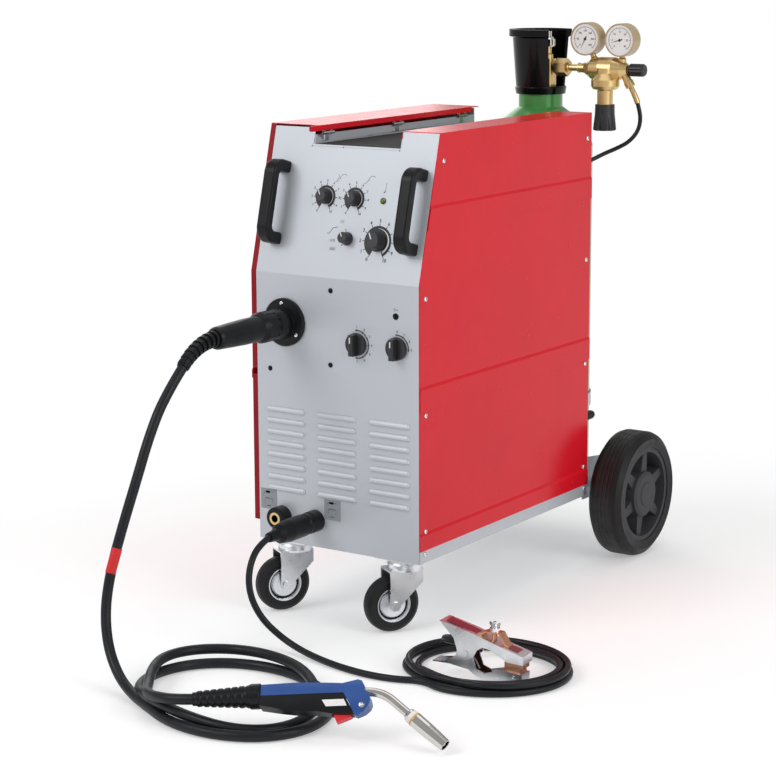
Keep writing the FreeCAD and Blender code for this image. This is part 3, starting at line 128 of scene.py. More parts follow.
# ---------------------------------------------------------------- node trees
class Shader:
    """Small builder for one material's node tree."""

    def __init__(self, name: str) -> None:
        """Starts an empty material with an output.

        Args:
            name: the material's name.
        """
        self.material = bpy.data.materials.new(name)
        self.material.use_nodes = True
        self.tree = self.material.node_tree
        self.tree.nodes.clear()
        self.output = self.add("ShaderNodeOutputMaterial")
        self.coords = self.add("ShaderNodeTexCoord").outputs["Object"]

    def add(self, kind: str, **inputs: object) -> bpy.types.Node:
        """Adds a node and fills its inputs.

        Args:
            kind: the node's type name.
            inputs: values or sockets by input name, with _ for a space.

        Returns:
            The new node.
        """
        node = self.tree.nodes.new(kind)
        for key, value in inputs.items():
            socket = node.inputs[key.replace("_", " ")]
            if isinstance(value, bpy.types.NodeSocket):
                self.tree.links.new(value, socket)
            else:
                socket.default_value = value
        return node

    def noise(self, scale: float, detail: float = 3.0, rough: float = 0.5,
              stretch: Point = (1, 1, 1), coords: bpy.types.NodeSocket | None = None) -> bpy.types.NodeSocket:
        """Noise value over the object, from 0 to 1."""
        mapping = self.add("ShaderNodeMapping", Vector=coords or self.coords, Scale=tuple(stretch))
        return self.add("ShaderNodeTexNoise", Vector=mapping.outputs[0], Scale=scale, Detail=detail,
                        Roughness=rough).outputs["Fac"]

    def ramp(self, value: bpy.types.NodeSocket, stops: Sequence[tuple[float, Point]]) -> bpy.types.NodeSocket:
        """Colour ramp over a value, from (position, rgb) stops."""
        node = self.add("ShaderNodeValToRGB", Fac=value)
        elements = node.color_ramp.elements
        while len(elements) < len(stops):
            elements.new(0.5)
        for element, (place, colour) in zip(elements, stops):
            element.position = place
            element.color = (*colour, 1.0)
        return node.outputs["Color"]

    def span(self, value: bpy.types.NodeSocket, low: float, high: float,
             start: float = 0.0, end: float = 1.0) -> bpy.types.NodeSocket:
        """Value mapped from start..end to low..high, clamped."""
        node = self.add("ShaderNodeMapRange", Value=value)
        node.inputs["From Min"].default_value = start
        node.inputs["From Max"].default_value = end
        node.inputs["To Min"].default_value = low
        node.inputs["To Max"].default_value = high
        return node.outputs[0]

    def mix(self, share: bpy.types.NodeSocket | float, one: object, other: object) -> bpy.types.NodeSocket:
        """Blend of two colours or colour sockets by a share."""
        node = self.tree.nodes.new("ShaderNodeMix")
        node.data_type = "RGBA"
        for socket, value in ((node.inputs[0], share), (node.inputs[6], one), (node.inputs[7], other)):
            if isinstance(value, bpy.types.NodeSocket):
                self.tree.links.new(value, socket)
            else:
                socket.default_value = value if isinstance(value, float) else (*value, 1.0)
        return node.outputs[2]

    def bump(self, height: bpy.types.NodeSocket, distance: float, strength: float = 1.0,
             under: bpy.types.NodeSocket | None = None) -> bpy.types.NodeSocket:
        """Bump normal of a height, distance in metres."""
        node = self.add("ShaderNodeBump", Height=height, Distance=distance, Strength=strength)
        if under is not None:
            self.tree.links.new(under, node.inputs["Normal"])
        return node.outputs[0]

    def finish(self, **inputs: object) -> bpy.types.Material:
        """Ends the tree with a Principled shader.

        Args:
            inputs: the shader's inputs by name, with _ for a space.

        Returns:
            The material.
        """
        shader = self.add("ShaderNodeBsdfPrincipled", **inputs)
        self.tree.links.new(shader.outputs[0], self.output.inputs[0])
        return self.material


def shade(colour: Point, by: float) -> tuple[float, float, float]:
    """The colour lightened or darkened by a factor, each channel held to 1."""
    return tuple(min(1.0, channel * by) for channel in colour)


# ---------------------------------------------------------------- finishes
@dataclass(frozen=True)
class Paint:
    """Powder coat or gloss enamel over sheet steel."""

    name: str
    colour: tuple[float, float, float]
    roughness: float = 0.34
    coat: float = 0.25
    peel: float = 0.00003
    peel_scale: float = 900.0
    scuff: float = 0.05
    specular: float = 0.5

    def material(self) -> bpy.types.Material:
        """Builds the paint: cloudy colour, orange peel, scuffs and a clear top."""
        s = Shader(self.name)
        cloud = s.noise(5.0, 4.0, 0.6)
        base = s.ramp(cloud, [(0.3, shade(self.colour, 0.93)), (0.7, shade(self.colour, 1.05))])
        marks = s.span(s.noise(46.0, 9.0, 0.72, (1, 1, 0.35)), 0.0, 1.0, 0.64, 0.78)
        dirty = s.mix(0.5, base, shade(self.colour, 0.7))
        worn = s.add("ShaderNodeMath", Value=marks)
        worn.operation = "MULTIPLY"
        worn.inputs[1].default_value = self.scuff
        colour = s.mix(worn.outputs[0], base, dirty)
        rough = s.span(s.noise(30.0, 6.0, 0.65), self.roughness * 0.88, self.roughness * 1.16, 0.3, 0.7)
        normal = s.bump(s.noise(self.peel_scale, 2.0), self.peel, 0.6)
        return s.finish(Base_Color=colour, Roughness=rough, Normal=normal, Specular_IOR_Level=self.specular,
                        Coat_Weight=self.coat, Coat_Roughness=0.12)


@dataclass(frozen=True)
class Moulding:
    """Injection moulded plastic or nylon with a spark-eroded grain."""

    name: str
    colour: tuple[float, float, float]
    roughness: float = 0.45
    grain: float = 0.00004
    grain_scale: float = 1700.0
    specular: float = 0.5

    def material(self) -> bpy.types.Material:
        """Builds the plastic: even colour with slight clouding, fine grain, handling shine."""
        s = Shader(self.name)
        cloud = s.noise(22.0, 3.0)
        colour = s.ramp(cloud, [(0.3, shade(self.colour, 0.88)), (0.72, shade(self.colour, 1.14))])
        rough = s.span(s.noise(60.0, 5.0), self.roughness * 0.86, self.roughness * 1.15, 0.3, 0.7)
        normal = s.bump(s.noise(self.grain_scale, 2.0), self.grain, 0.7)
        return s.finish(Base_Color=colour, Roughness=rough, Normal=normal, Specular_IOR_Level=self.specular)


@dataclass(frozen=True)
class Tread:
    """Tyre rubber with grooves running round it."""

    name: str
    colour: tuple[float, float, float]
    pitch: float = 0.0085

    def material(self) -> bpy.types.Material:
        """Builds the rubber: grooves across the axle's direction, with painted shade in the grooves, and dust
        on the lands.
        """
        s = Shader(self.name)
        apart = s.add("ShaderNodeSeparateXYZ", Vector=s.coords)
        wave = s.add("ShaderNodeMath", Value=apart.outputs["X"])
        wave.operation = "PINGPONG"
        wave.inputs[1].default_value = self.pitch / 2
        land = s.span(wave.outputs[0], 0.0, 1.0, self.pitch * 0.08, self.pitch * 0.16)
        dust = s.ramp(s.noise(40.0, 5.0), [(0.3, shade(self.colour, 0.9)), (0.75, shade(self.colour, 1.7))])
        # Near-black grooves between the lands: painted shade in the grooves; the lands keep the rubber's
        # colour with dust.
        colour = s.mix(land, (0.002, 0.002, 0.002), dust)
        normal = s.bump(land, 0.0012, 1.0)
        rough = s.span(s.noise(70.0), 0.5, 0.68, 0.3, 0.7)
        return s.finish(Base_Color=colour, Roughness=rough, Normal=normal)


@dataclass(frozen=True)
class Sheath:
    """Extruded rubber sheath of a lead or hose."""

    name: str
    colour: tuple[float, float, float] = (0.007, 0.0078, 0.0105)
    roughness: float = 0.42
    specular: float = 0.3

    def material(self) -> bpy.types.Material:
        """Builds the rubber: bloom in patches, faint waves and a fine skin."""
        s = Shader(self.name)
        bloom = s.noise(26.0, 5.0, 0.6)
        colour = s.ramp(bloom, [(0.35, self.colour), (0.75, shade(self.colour, 1.9))])
        rough = s.span(s.noise(48.0, 5.0), self.roughness * 0.82, self.roughness * 1.25, 0.3, 0.7)
        skin = s.bump(s.noise(1100.0, 2.0), 0.00004, 0.6)
        waves = s.bump(s.noise(38.0, 1.0), 0.0006, 0.25, skin)
        return s.finish(Base_Color=colour, Roughness=rough, Normal=waves, Specular_IOR_Level=self.specular)


@dataclass(frozen=True)
class Metal:
    """Bare, plated or polished metal."""

    name: str
    colour: tuple[float, float, float]
    roughness: float = 0.28
    stretch: tuple[float, float, float] = (1.0, 1.0, 1.0)
    grain_scale: float = 260.0
    grain: float = 0.00002
    cloud: float = 0.12

    def material(self) -> bpy.types.Material:
        """Builds the metal: clouding and brush or lathe lines."""
        s = Shader(self.name)
        base = s.ramp(s.noise(34.0, 5.0, 0.6), [(0.3, shade(self.colour, 1 - self.cloud)),
                                               (0.7, shade(self.colour, 1 + self.cloud * 0.5))])
        lines = s.noise(self.grain_scale, 4.0, 0.6, self.stretch)
        rough = s.span(lines, self.roughness * 0.75, self.roughness * 1.35, 0.3, 0.7)
        normal = s.bump(lines, self.grain, 0.5)
        return s.finish(Base_Color=base, Metallic=1.0, Roughness=rough, Normal=normal)


@dataclass(frozen=True)
class Print:
    """Screen-printed ink or a plain dial card."""

    name: str
    colour: tuple[float, float, float]
    roughness: float = 0.5

    def material(self) -> bpy.types.Material:
        """Builds the ink: slight unevenness of the print."""
        s = Shader(self.name)
        ink = s.ramp(s.noise(420.0, 3.0), [(0.3, shade(self.colour, 0.93)), (0.7, shade(self.colour, 1.03))])
        rough = s.span(s.noise(160.0, 3.0), self.roughness * 0.9, self.roughness * 1.1)
        return s.finish(Base_Color=ink, Roughness=rough)


@dataclass(frozen=True)
class Lens:
    """Tinted lamp lens."""

    name: str
    colour: tuple[float, float, float]
    transmission: float = 0.6

    def material(self) -> bpy.types.Material:
        """Builds the lens: tinted body with faint swirls."""
        s = Shader(self.name)
        tint = s.ramp(s.noise(300.0, 2.0), [(0.3, shade(self.colour, 0.9)), (0.7, shade(self.colour, 1.1))])
        return s.finish(Base_Color=tint, Roughness=0.08, Transmission_Weight=self.transmission, IOR=1.49)


class Finish(Enum):
    """Every finish on the machine, painted shade among them where noted."""

    FRONT_GREY = Paint("front_grey", (0.41, 0.45, 0.49), 0.42, 0.0, 0.00002, 1100.0, 0.02, 0.4)
    CHASSIS_GREY = Paint("chassis_grey", (0.42, 0.455, 0.51), 0.45, 0.1)
    # Near-black grey for the top channel's floor: painted shade where the floor lies in the channel's shadow.
    TRAY_GREY = Paint("tray_grey", (0.06, 0.061, 0.062), 0.6, 0.0, specular=0.02)
    RED = Paint("red_gloss", (0.76, 0.009, 0.022), 0.24, 0.0, 0.00001, 700.0, 0.0, 0.22)
    # Deep red for the red panels' front-facing faces: painted shade, the red gloss as it looks in shade.
    RED_EDGE = Paint("red_edge", (0.30, 0.006, 0.014), 0.4, 0.0, 0.00001, 700.0, 0.0, 0.2)
    # Dark brown for the inner faces of the clamp arms: painted shade between the plates.
    BROWN = Paint("clamp_inside", (0.075, 0.02, 0.014), 0.55, 0.0, 0.00001, 700.0, 0.0, 0.3)
    GREEN = Paint("cylinder_green", (0.15, 0.5, 0.07), 0.22, 0.1, 0.00003, 420.0, 0.06, 0.45)
    BLACK = Moulding("black_nylon", (0.008, 0.0085, 0.01), 0.36, specular=0.22)
    GLOSS_BLACK = Moulding("black_gloss", (0.003, 0.0027, 0.0026), 0.15, 0.000005, specular=0.2)
    KNOB = Moulding("knob_black", (0.005, 0.005, 0.0055), 0.3, specular=0.2)
    GREY_PLASTIC = Moulding("switch_grey", (0.2, 0.2, 0.21), 0.5)
    BLUE = Moulding("torch_blue", (0.022, 0.085, 0.32), 0.33, 0.00003)
    RED_PLASTIC = Moulding("trigger_red", (0.7, 0.012, 0.018), 0.32)
    TREAD = Tread("tyre_tread", (0.012, 0.012, 0.0135))
    MAROON = Paint("clamp_maroon", (0.23, 0.02, 0.035), 0.4, 0.2)
    WHEEL = Moulding("wheel_grey", (0.022, 0.024, 0.03), 0.5, specular=0.35)
    TYRE = Moulding("tyre_black", (0.009, 0.009, 0.0105), 0.5, 0.00004, 900.0, 0.32)
    CABLE = Sheath("lead_sheath")
    HOSE = Sheath("hose_sheath", (0.006, 0.006, 0.007), 0.3)
    CHROME = Metal("chrome", (0.8, 0.8, 0.81), 0.08, cloud=0.04, grain=0.000002)
    NICKEL = Metal("polished_nickel", (0.66, 0.64, 0.6), 0.13, (1, 1, 1), 300.0, 0.000003, 0.06)
    ZINC = Metal("zinc_plate", (0.8, 0.82, 0.85), 0.3, (1, 1, 1), 35.0, 0.0000005, 0.04)
    STEEL = Metal("rolled_steel", (0.5, 0.5, 0.51), 0.34, (1, 1, 8))
    BRASS = Metal("brass", (0.72, 0.52, 0.22), 0.24, (1, 1, 1), 300.0, 0.000006, 0.1)
    COPPER = Metal("cast_copper", (0.72, 0.36, 0.22), 0.4, (1, 1, 1), 180.0, 0.00008, 0.2)
    WINDING = Metal("coppered_wire", (0.66, 0.42, 0.26), 0.3, (9, 1, 1), 190.0, 0.0002, 0.1)
    CORE = Paint("varnished_core", (0.09, 0.07, 0.055), 0.5)
    GAUGE_CASE = Paint("gauge_brass", (0.50, 0.37, 0.20), 0.3, 0.3)
    WHITE_CARD = Print("dial_card", (0.93, 0.93, 0.92))
    WHITE_INK = Print("white_ink", (0.86, 0.87, 0.88))
    BLACK_INK = Print("black_ink", (0.02, 0.02, 0.024))
    GREY_INK = Print("grey_ink", (0.30, 0.32, 0.35))
    PLATE = Print("grey_plate", (0.33, 0.355, 0.39))
    AMBER = Moulding("amber_ring", (0.75, 0.38, 0.08), 0.35)
    CERAMIC = Moulding("white_ceramic", (0.82, 0.81, 0.78), 0.4)
    RED_TAPE = Moulding("red_tape", (0.72, 0.02, 0.025), 0.35)
    GREEN_LENS = Lens("green_lens", (0.2, 0.24, 0.02), 0.2)

    @property
    def material(self) -> bpy.types.Material:
        """The finish as a material, built once.

        Where the frame brings a material of the same name, that one is used as it is.
        """
        return bpy.data.materials.get(self.value.name) or self.value.material()


# ---------------------------------------------------------------- mesh tools
def piece(name: str, mesh: bpy.types.Mesh, body: str, finishes: Sequence[Finish],
          smooth: float | None = 35.0) -> bpy.types.Object:
    """Puts a finished mesh in the scene and lets it ride.

    Args:
        name: the piece's name.
        mesh: its mesh, already in the row frame.
        body: the CAD body that carries it.
        finishes: its finishes, in material order.
        smooth: angle in degrees under which edges are shaded smooth, or None for flat faces.

    Returns:
        The object.
    """
    for finish in finishes:
        mesh.materials.append(finish.material)
    made = bpy.data.objects.new(name, mesh)
    bpy.context.scene.collection.objects.link(made)
    if smooth is not None:
        for polygon in mesh.polygons:
            polygon.use_smooth = True
        mesh.set_sharp_from_angle(angle=math.radians(smooth))
    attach(made, body)
    return made


def grow(build: Callable[[bmesh.types.BMesh], object], name: str, tidy: bool = True) -> bpy.types.Mesh:
    """Mesh made by a function that fills a bmesh.

    Args:
        build: the function.
        name: the mesh's name.
        tidy: merge doubles and point the faces outwards.

    Returns:
        The mesh.
    """
    bm = bmesh.new()
    build(bm)
    if tidy:
        bmesh.ops.remove_doubles(bm, verts=bm.verts, dist=1e-6)
        bmesh.ops.recalc_face_normals(bm, faces=bm.faces)
    mesh = bpy.data.meshes.new(name)
    bm.to_mesh(mesh)
    bm.free()
    return mesh


def lathe(bm: bmesh.types.BMesh, profile: Sequence[tuple[float, float]], place: Matrix, steps: int = 32,
          material: int = 0) -> list[bmesh.types.BMFace]:
    """Adds a closed turned form about the place's z axis.

    Args:
        bm: the bmesh to add to.
        profile: (radius, height) in millimetres; it starts and ends on the axis.
        place: where the form stands.
        steps: facets round the axis.
        material: material index of its faces.

    Returns:
        The new faces.
    """
    rings = []
    for radius, height in profile:
        if radius < 1e-6:
            rings.append([bm.verts.new(place @ Vector((0, 0, height * MM)))])
            continue
        rings.append([bm.verts.new(place @ Vector((radius * MM * math.cos(math.tau * k / steps),
                                                   radius * MM * math.sin(math.tau * k / steps),
                                                   height * MM)))
                      for k in range(steps)])
    faces = []
    for low, high in zip(rings, rings[1:]):
        for k in range(steps):
            n = (k + 1) % steps
            corners = [low[k % len(low)], low[n % len(low)], high[n % len(high)], high[k % len(high)]]
            unique = list(dict.fromkeys(corners))
            if len(unique) > 2:
                faces.append(bm.faces.new(unique))
    for face in faces:
        face.material_index = material
    return faces


def slab(bm: bmesh.types.BMesh, outline: Sequence[Point], thickness: float, place: Matrix,
         material: int = 0) -> None:
    """Adds a flat plate from an outline in millimetres, raised by a thickness in millimetres."""
    base = [bm.verts.new(place @ Vector((p[0] * MM, p[1] * MM, 0))) for p in outline]
    top = [bm.verts.new(place @ Vector((p[0] * MM, p[1] * MM, thickness * MM))) for p in outline]
    faces = [bm.faces.new(base[::-1]), bm.faces.new(top)]
    for k in range(len(base)):
        n = (k + 1) % len(base)
        faces.append(bm.faces.new((base[k], base[n], top[n], top[k])))
    for face in faces:
        face.material_index = material


def block(bm: bmesh.types.BMesh, low: Point, high: Point, place: Matrix, material: int = 0) -> None:
    """Adds a box between two corners in millimetres."""
    shift = place @ Matrix.Translation(Vector((0, 0, low[2] * MM)))
    corners = [(low[0], low[1]), (high[0], low[1]), (high[0], high[1]), (low[0], high[1])]
    slab(bm, corners, high[2] - low[2], shift, material)


def dress(finish: Finish, *nodes: str) -> None:
    """Gives CAD nodes a finish in place of their packed one."""
    for node in nodes:
        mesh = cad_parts[node].data
        mesh.materials.clear()
        mesh.materials.append(finish.material)


def repaint(node: str, finish: Finish, chosen: Callable[[Vector, Vector], bool]) -> None:
    """Gives the CAD node's faces that a test picks another finish.

    Args:
        node: the CAD node.
        finish: the second finish.
        chosen: takes a face's centre and normal and says whether it changes.
    """
    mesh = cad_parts[node].data
    mesh.materials.append(finish.material)
    index = len(mesh.materials) - 1
    for polygon in mesh.polygons:
        if chosen(polygon.center, polygon.normal):
            polygon.material_index = index


# ---------------------------------------------------------------- repeats by geometry nodes
class Repeat:
    """Geometry Nodes tree that sets copies of a template on marked points."""

    def __init__(self, name: str) -> None:
        """Builds the tree: instance, spin, realise, set material.

        Args:
            name: the tree's name.
        """
        tree = bpy.data.node_groups.new(name, "GeometryNodeTree")
        face = tree.interface
        face.new_socket("Points", in_out="INPUT", socket_type="NodeSocketGeometry")
        self.keys = {}
        for label, kind in (("Template", "NodeSocketObject"), ("Size", "NodeSocketFloat"),
                            ("Spin", "NodeSocketFloat"), ("Seed", "NodeSocketInt"),
                            ("Finish", "NodeSocketMaterial")):
            self.keys[label] = face.new_socket(label, in_out="INPUT", socket_type=kind).identifier
        face.new_socket("Copies", in_out="OUTPUT", socket_type="NodeSocketGeometry")
        add = tree.nodes.new
        link = tree.links.new
        inlet = add("NodeGroupInput")
        outlet = add("NodeGroupOutput")
        info = add("GeometryNodeObjectInfo")
        link(inlet.outputs["Template"], info.inputs["Object"])
        facing = add("GeometryNodeInputNamedAttribute")
        facing.data_type = "FLOAT_VECTOR"
        facing.inputs["Name"].default_value = "facing"
        align = add("FunctionNodeAlignRotationToVector")
        align.axis = "Z"
        link(facing.outputs["Attribute"], align.inputs["Vector"])
        chance = add("FunctionNodeRandomValue")
        chance.data_type = "FLOAT"
        link(inlet.outputs["Seed"], chance.inputs["Seed"])
        link(inlet.outputs["Spin"], chance.inputs[3])
        about = add("ShaderNodeCombineXYZ")
        link(chance.outputs[1], about.inputs["Z"])
        spin = add("FunctionNodeRotateRotation")
        spin.rotation_space = "LOCAL"
        link(align.outputs[0], spin.inputs[0])
        euler = add("FunctionNodeEulerToRotation")
        link(about.outputs[0], euler.inputs[0])
        link(euler.outputs[0], spin.inputs[1])
        place = add("GeometryNodeInstanceOnPoints")
        link(inlet.outputs["Points"], place.inputs["Points"])
        link(info.outputs["Geometry"], place.inputs["Instance"])
        link(spin.outputs[0], place.inputs["Rotation"])
        link(inlet.outputs["Size"], place.inputs["Scale"])
        real = add("GeometryNodeRealizeInstances")
        link(place.outputs[0], real.inputs[0])
        paint = add("GeometryNodeSetMaterial")
        link(real.outputs[0], paint.inputs["Geometry"])
        link(inlet.outputs["Finish"], paint.inputs["Material"])
        link(paint.outputs[0], outlet.inputs[0])
        self.tree = tree

    def make(self, name: str, template: bpy.types.Object, spots: Iterable[tuple[Vector, Vector]],
             finish: Finish, body: str, size: float = 1.0,
             spin: float = math.tau) -> bpy.types.Object:
        """Sets the copies and turns them into one plain mesh.

        Args:
            name: the new piece's name.
            template: the object that is repeated.
            spots: (place, direction it faces) in the row frame.
            finish: finish of all copies.
            body: the CAD body that carries them.
            size: scale of the copies.
            spin: largest random turn about the facing axis, in radians.

        Returns:
            The finished piece.
        """
        spots = list(spots)
        cloud = bpy.data.meshes.new(name + "_points")
        cloud.from_pydata([tuple(place) for place, _ in spots], [], [])
        mark = cloud.attributes.new("facing", "FLOAT_VECTOR", "POINT")
        mark.data.foreach_set("vector", [c for _, way in spots for c in way])
        holder = bpy.data.objects.new(name + "_holder", cloud)
        bpy.context.scene.collection.objects.link(holder)
        modifier = holder.modifiers.new("repeat", "NODES")
        modifier.node_group = self.tree
        for label, value in (("Template", template), ("Size", size), ("Spin", spin), ("Seed", SEED),
                             ("Finish", finish.material)):
            modifier[self.keys[label]] = value
        graph = bpy.context.evaluated_depsgraph_get()
        mesh = bpy.data.meshes.new_from_object(holder.evaluated_get(graph))
        bpy.data.objects.remove(holder)
        return piece(name, mesh, body, [finish])


def template(name: str, build: Callable[[bmesh.types.BMesh], None]) -> bpy.types.Object:
    """A hidden object that only serves to be repeated."""
    made = bpy.data.objects.new(name, grow(build, name))
    bpy.context.scene.collection.objects.link(made)
    made.hide_render = True
    return made


# ---------------------------------------------------------------- studio
@dataclass
class Studio:
    """Camera, floor and soft lights."""

    eye: tuple[float, float, float] = (2193.08, -3101.53, 1187.72)
    heading: float = 33.906
    tilt: float = 11.391
    roll: float = -0.235
    lens: float = 103.92
    floor_grey: float = 0.8
    floor_reach: float = 20.0
    floor_drop: float = 0.0004
    floor_glow: float = 0.33
    fade: tuple[float, float] = (0.85, 1.35)
    fade_shape: tuple[float, float] = (0.85, 1.15)
    room_light: float = 0.42

    def camera(self) -> None:
        """Sets the camera by heading, tilt and roll in degrees."""
        yaw, pitch, roll = (math.radians(value) for value in (self.heading, self.tilt, self.roll))
        ahead = Vector((-math.sin(yaw) * math.cos(pitch), math.cos(yaw) * math.cos(pitch), -math.sin(pitch)))
        side = Vector((math.cos(yaw), math.sin(yaw), 0))
        above = side.cross(ahead)
        right = side * math.cos(roll) + above * math.sin(roll)
        up = above * math.cos(roll) - side * math.sin(roll)
        data = bpy.data.cameras.new("camera")
        data.lens = self.lens
        data.sensor_width = 36
        data.clip_end = 60
        camera = bpy.data.objects.new("camera", data)
        facing = Matrix((right, up, -ahead)).transposed().to_4x4()
        camera.matrix_world = Matrix.Translation(cab(*self.eye)) @ facing
        bpy.context.scene.collection.objects.link(camera)
        bpy.context.scene.camera = camera

    def backdrop_material(self) -> bpy.types.Material:
        """Pale matt floor that reads as white to the camera and in reflections and still takes the shadow."""
        s = Shader("backdrop")
        grain = s.noise(60.0, 2.0)
        tone = s.ramp(grain, [(0.3, (self.floor_grey - 0.01,) * 3), (0.7, (self.floor_grey + 0.01,) * 3)])
        lit = s.add("ShaderNodeBsdfDiffuse", Color=tone)
        path = s.add("ShaderNodeLightPath")
        glow = s.add("ShaderNodeEmission", Color=(1, 1, 1, 1), Strength=self.floor_glow)
        seen = s.add("ShaderNodeMath", Value=path.outputs["Is Camera Ray"])
        seen.operation = "MAXIMUM"
        s.tree.links.new(path.outputs["Is Glossy Ray"], seen.inputs[1])
        none = s.add("ShaderNodeEmission", Color=(0, 0, 0, 1), Strength=0.0)
        chosen = s.add("ShaderNodeMixShader", Fac=seen.outputs[0])
        s.tree.links.new(none.outputs[0], chosen.inputs[1])
        s.tree.links.new(glow.outputs[0], chosen.inputs[2])
        both = s.add("ShaderNodeAddShader")
        s.tree.links.new(lit.outputs[0], both.inputs[0])
        s.tree.links.new(chosen.outputs[0], both.inputs[1])
        through = s.add("ShaderNodeMath", Value=seen.outputs[0])
        through.operation = "MAXIMUM"
        s.tree.links.new(path.outputs["Is Transmission Ray"], through.inputs[1])
        wide, deep = self.fade_shape
        squeezed = s.add("ShaderNodeMapping", Vector=s.coords, Scale=(1 / wide, 1 / deep, 1.0))
        away = s.add("ShaderNodeVectorMath", Vector=squeezed.outputs[0])
        away.operation = "LENGTH"
        far = s.span(away.outputs["Value"], 0.0, 1.0, *self.fade)
        fade = s.add("ShaderNodeMath", Value=far)
        fade.operation = "MULTIPLY"
        s.tree.links.new(through.outputs[0], fade.inputs[1])
        white = s.add("ShaderNodeEmission", Color=(1, 1, 1, 1), Strength=1.0)
        whole = s.add("ShaderNodeMixShader", Fac=fade.outputs[0])
        s.tree.links.new(both.outputs[0], whole.inputs[1])
        s.tree.links.new(white.outputs[0], whole.inputs[2])
        s.tree.links.new(whole.outputs[0], s.output.inputs[0])
        return s.material

    def floor(self) -> None:
        """Large level floor; the world closes it off at the horizon."""
        def build(bm: bmesh.types.BMesh) -> None:
            bm.faces.new([bm.verts.new((x * self.floor_reach, y * self.floor_reach, -self.floor_drop))
                          for x, y in ((-1, -1), (1, -1), (1, 1), (-1, 1))])
        mesh = grow(build, "floor")
        mesh.materials.append(self.backdrop_material())
        made = bpy.data.objects.new("floor", mesh)
        bpy.context.scene.collection.objects.link(made)

    def lamp(self, name: str, spot: Point, aim: Point, size: tuple[float, float], power: float) -> None:
        """Adds one soft rectangular lamp.

        Args:
            name: the lamp's name.
            spot: where it hangs.
            aim: what it points at.
            size: width and height in metres.
            power: in watts.
        """
        data = bpy.data.lights.new(name, "AREA")
        data.shape = "RECTANGLE"
        data.size, data.size_y = size
        data.energy = power
        made = bpy.data.objects.new(name, data)
        way = Vector(aim) - Vector(spot)
        made.matrix_world = Matrix.Translation(spot) @ way.to_track_quat("-Z", "Y").to_matrix().to_4x4()
        bpy.context.scene.collection.objects.link(made)

    def build(self) -> None:
        """Camera, floor, lamps and a white world."""
        self.camera()
        self.floor()
        middle = (0.0, 0.0, 0.45)
        self.lamp("key", (-1.8, -3.6, 3.2), middle, (2.6, 2.2), 78)
        self.lamp("fill", (4.2, -0.6, 2.2), middle, (2.4, 2.4), 68)
        self.lamp("top", (-0.2, 0.8, 4.0), middle, (3.0, 3.0), 26)
        self.lamp("rear", (-2.9, 2.7, 2.0), middle, (2.2, 2.2), 20)
        world = bpy.data.worlds.new("room")
        bpy.context.scene.world = world
        world.use_nodes = True
        nodes = world.node_tree.nodes
        links = world.node_tree.links
        ground = nodes["Background"]
        ground.inputs["Color"].default_value = (1, 1, 1, 1)
        ground.inputs["Strength"].default_value = self.room_light
        white = nodes.new("ShaderNodeBackground")
        white.inputs["Color"].default_value = (1, 1, 1, 1)
        white.inputs["Strength"].default_value = 1.0
        path = nodes.new("ShaderNodeLightPath")
        pick = nodes.new("ShaderNodeMixShader")
        links.new(path.outputs["Is Camera Ray"], pick.inputs[0])
        links.new(ground.outputs[0], pick.inputs[1])
        links.new(white.outputs[0], pick.inputs[2])
        links.new(pick.outputs[0], nodes["World Output"].inputs[0])
        bpy.context.scene.view_settings.view_transform = "Standard"


# ---------------------------------------------------------------- leads
@dataclass
class Turns:
    """Loose turns of a lead on the floor, inside the ring that its coil takes up."""

    centre: tuple[float, float]
    outer: tuple[float, float]
    inner: tuple[float, float]
    turned: float
    start: float
    end: float
    count: int
    lay: Sequence[tuple[float, float, float]]
    hole: tuple[float, float] | None = None

    def spot(self, angle: float) -> Vector:
        """Point of the lead at an angle in degrees, from the lay's (angle, share, height) marks."""
        low = max((mark for mark in self.lay if mark[0] <= angle), key=lambda mark: mark[0])
        high = min((mark for mark in self.lay if mark[0] >= angle), key=lambda mark: mark[0])
        part = 0.0 if high[0] == low[0] else (angle - low[0]) / (high[0] - low[0])
        part = part * part * (3 - 2 * part)
        share = low[1] + (high[1] - low[1]) * part
        height = low[2] + (high[2] - low[2]) * part
        out = (share + 1) / 2
        hole = self.hole or self.centre
        a = self.inner[0] + (self.outer[0] - self.inner[0]) * out
        b = self.inner[1] + (self.outer[1] - self.inner[1]) * out
        turn = math.radians(self.turned)
        x, y = a * math.cos(math.radians(angle)), b * math.sin(math.radians(angle))
        return cab(hole[0] + (self.centre[0] - hole[0]) * out + x * math.cos(turn) - y * math.sin(turn),
                   hole[1] + (self.centre[1] - hole[1]) * out + x * math.sin(turn) + y * math.cos(turn),
                   height)

    def points(self) -> list[Vector]:
        """The turns' control points, ends left to the lead's own runs."""
        step = (self.end - self.start) / self.count
        return [self.spot(self.start + step * k) for k in range(1, self.count)]


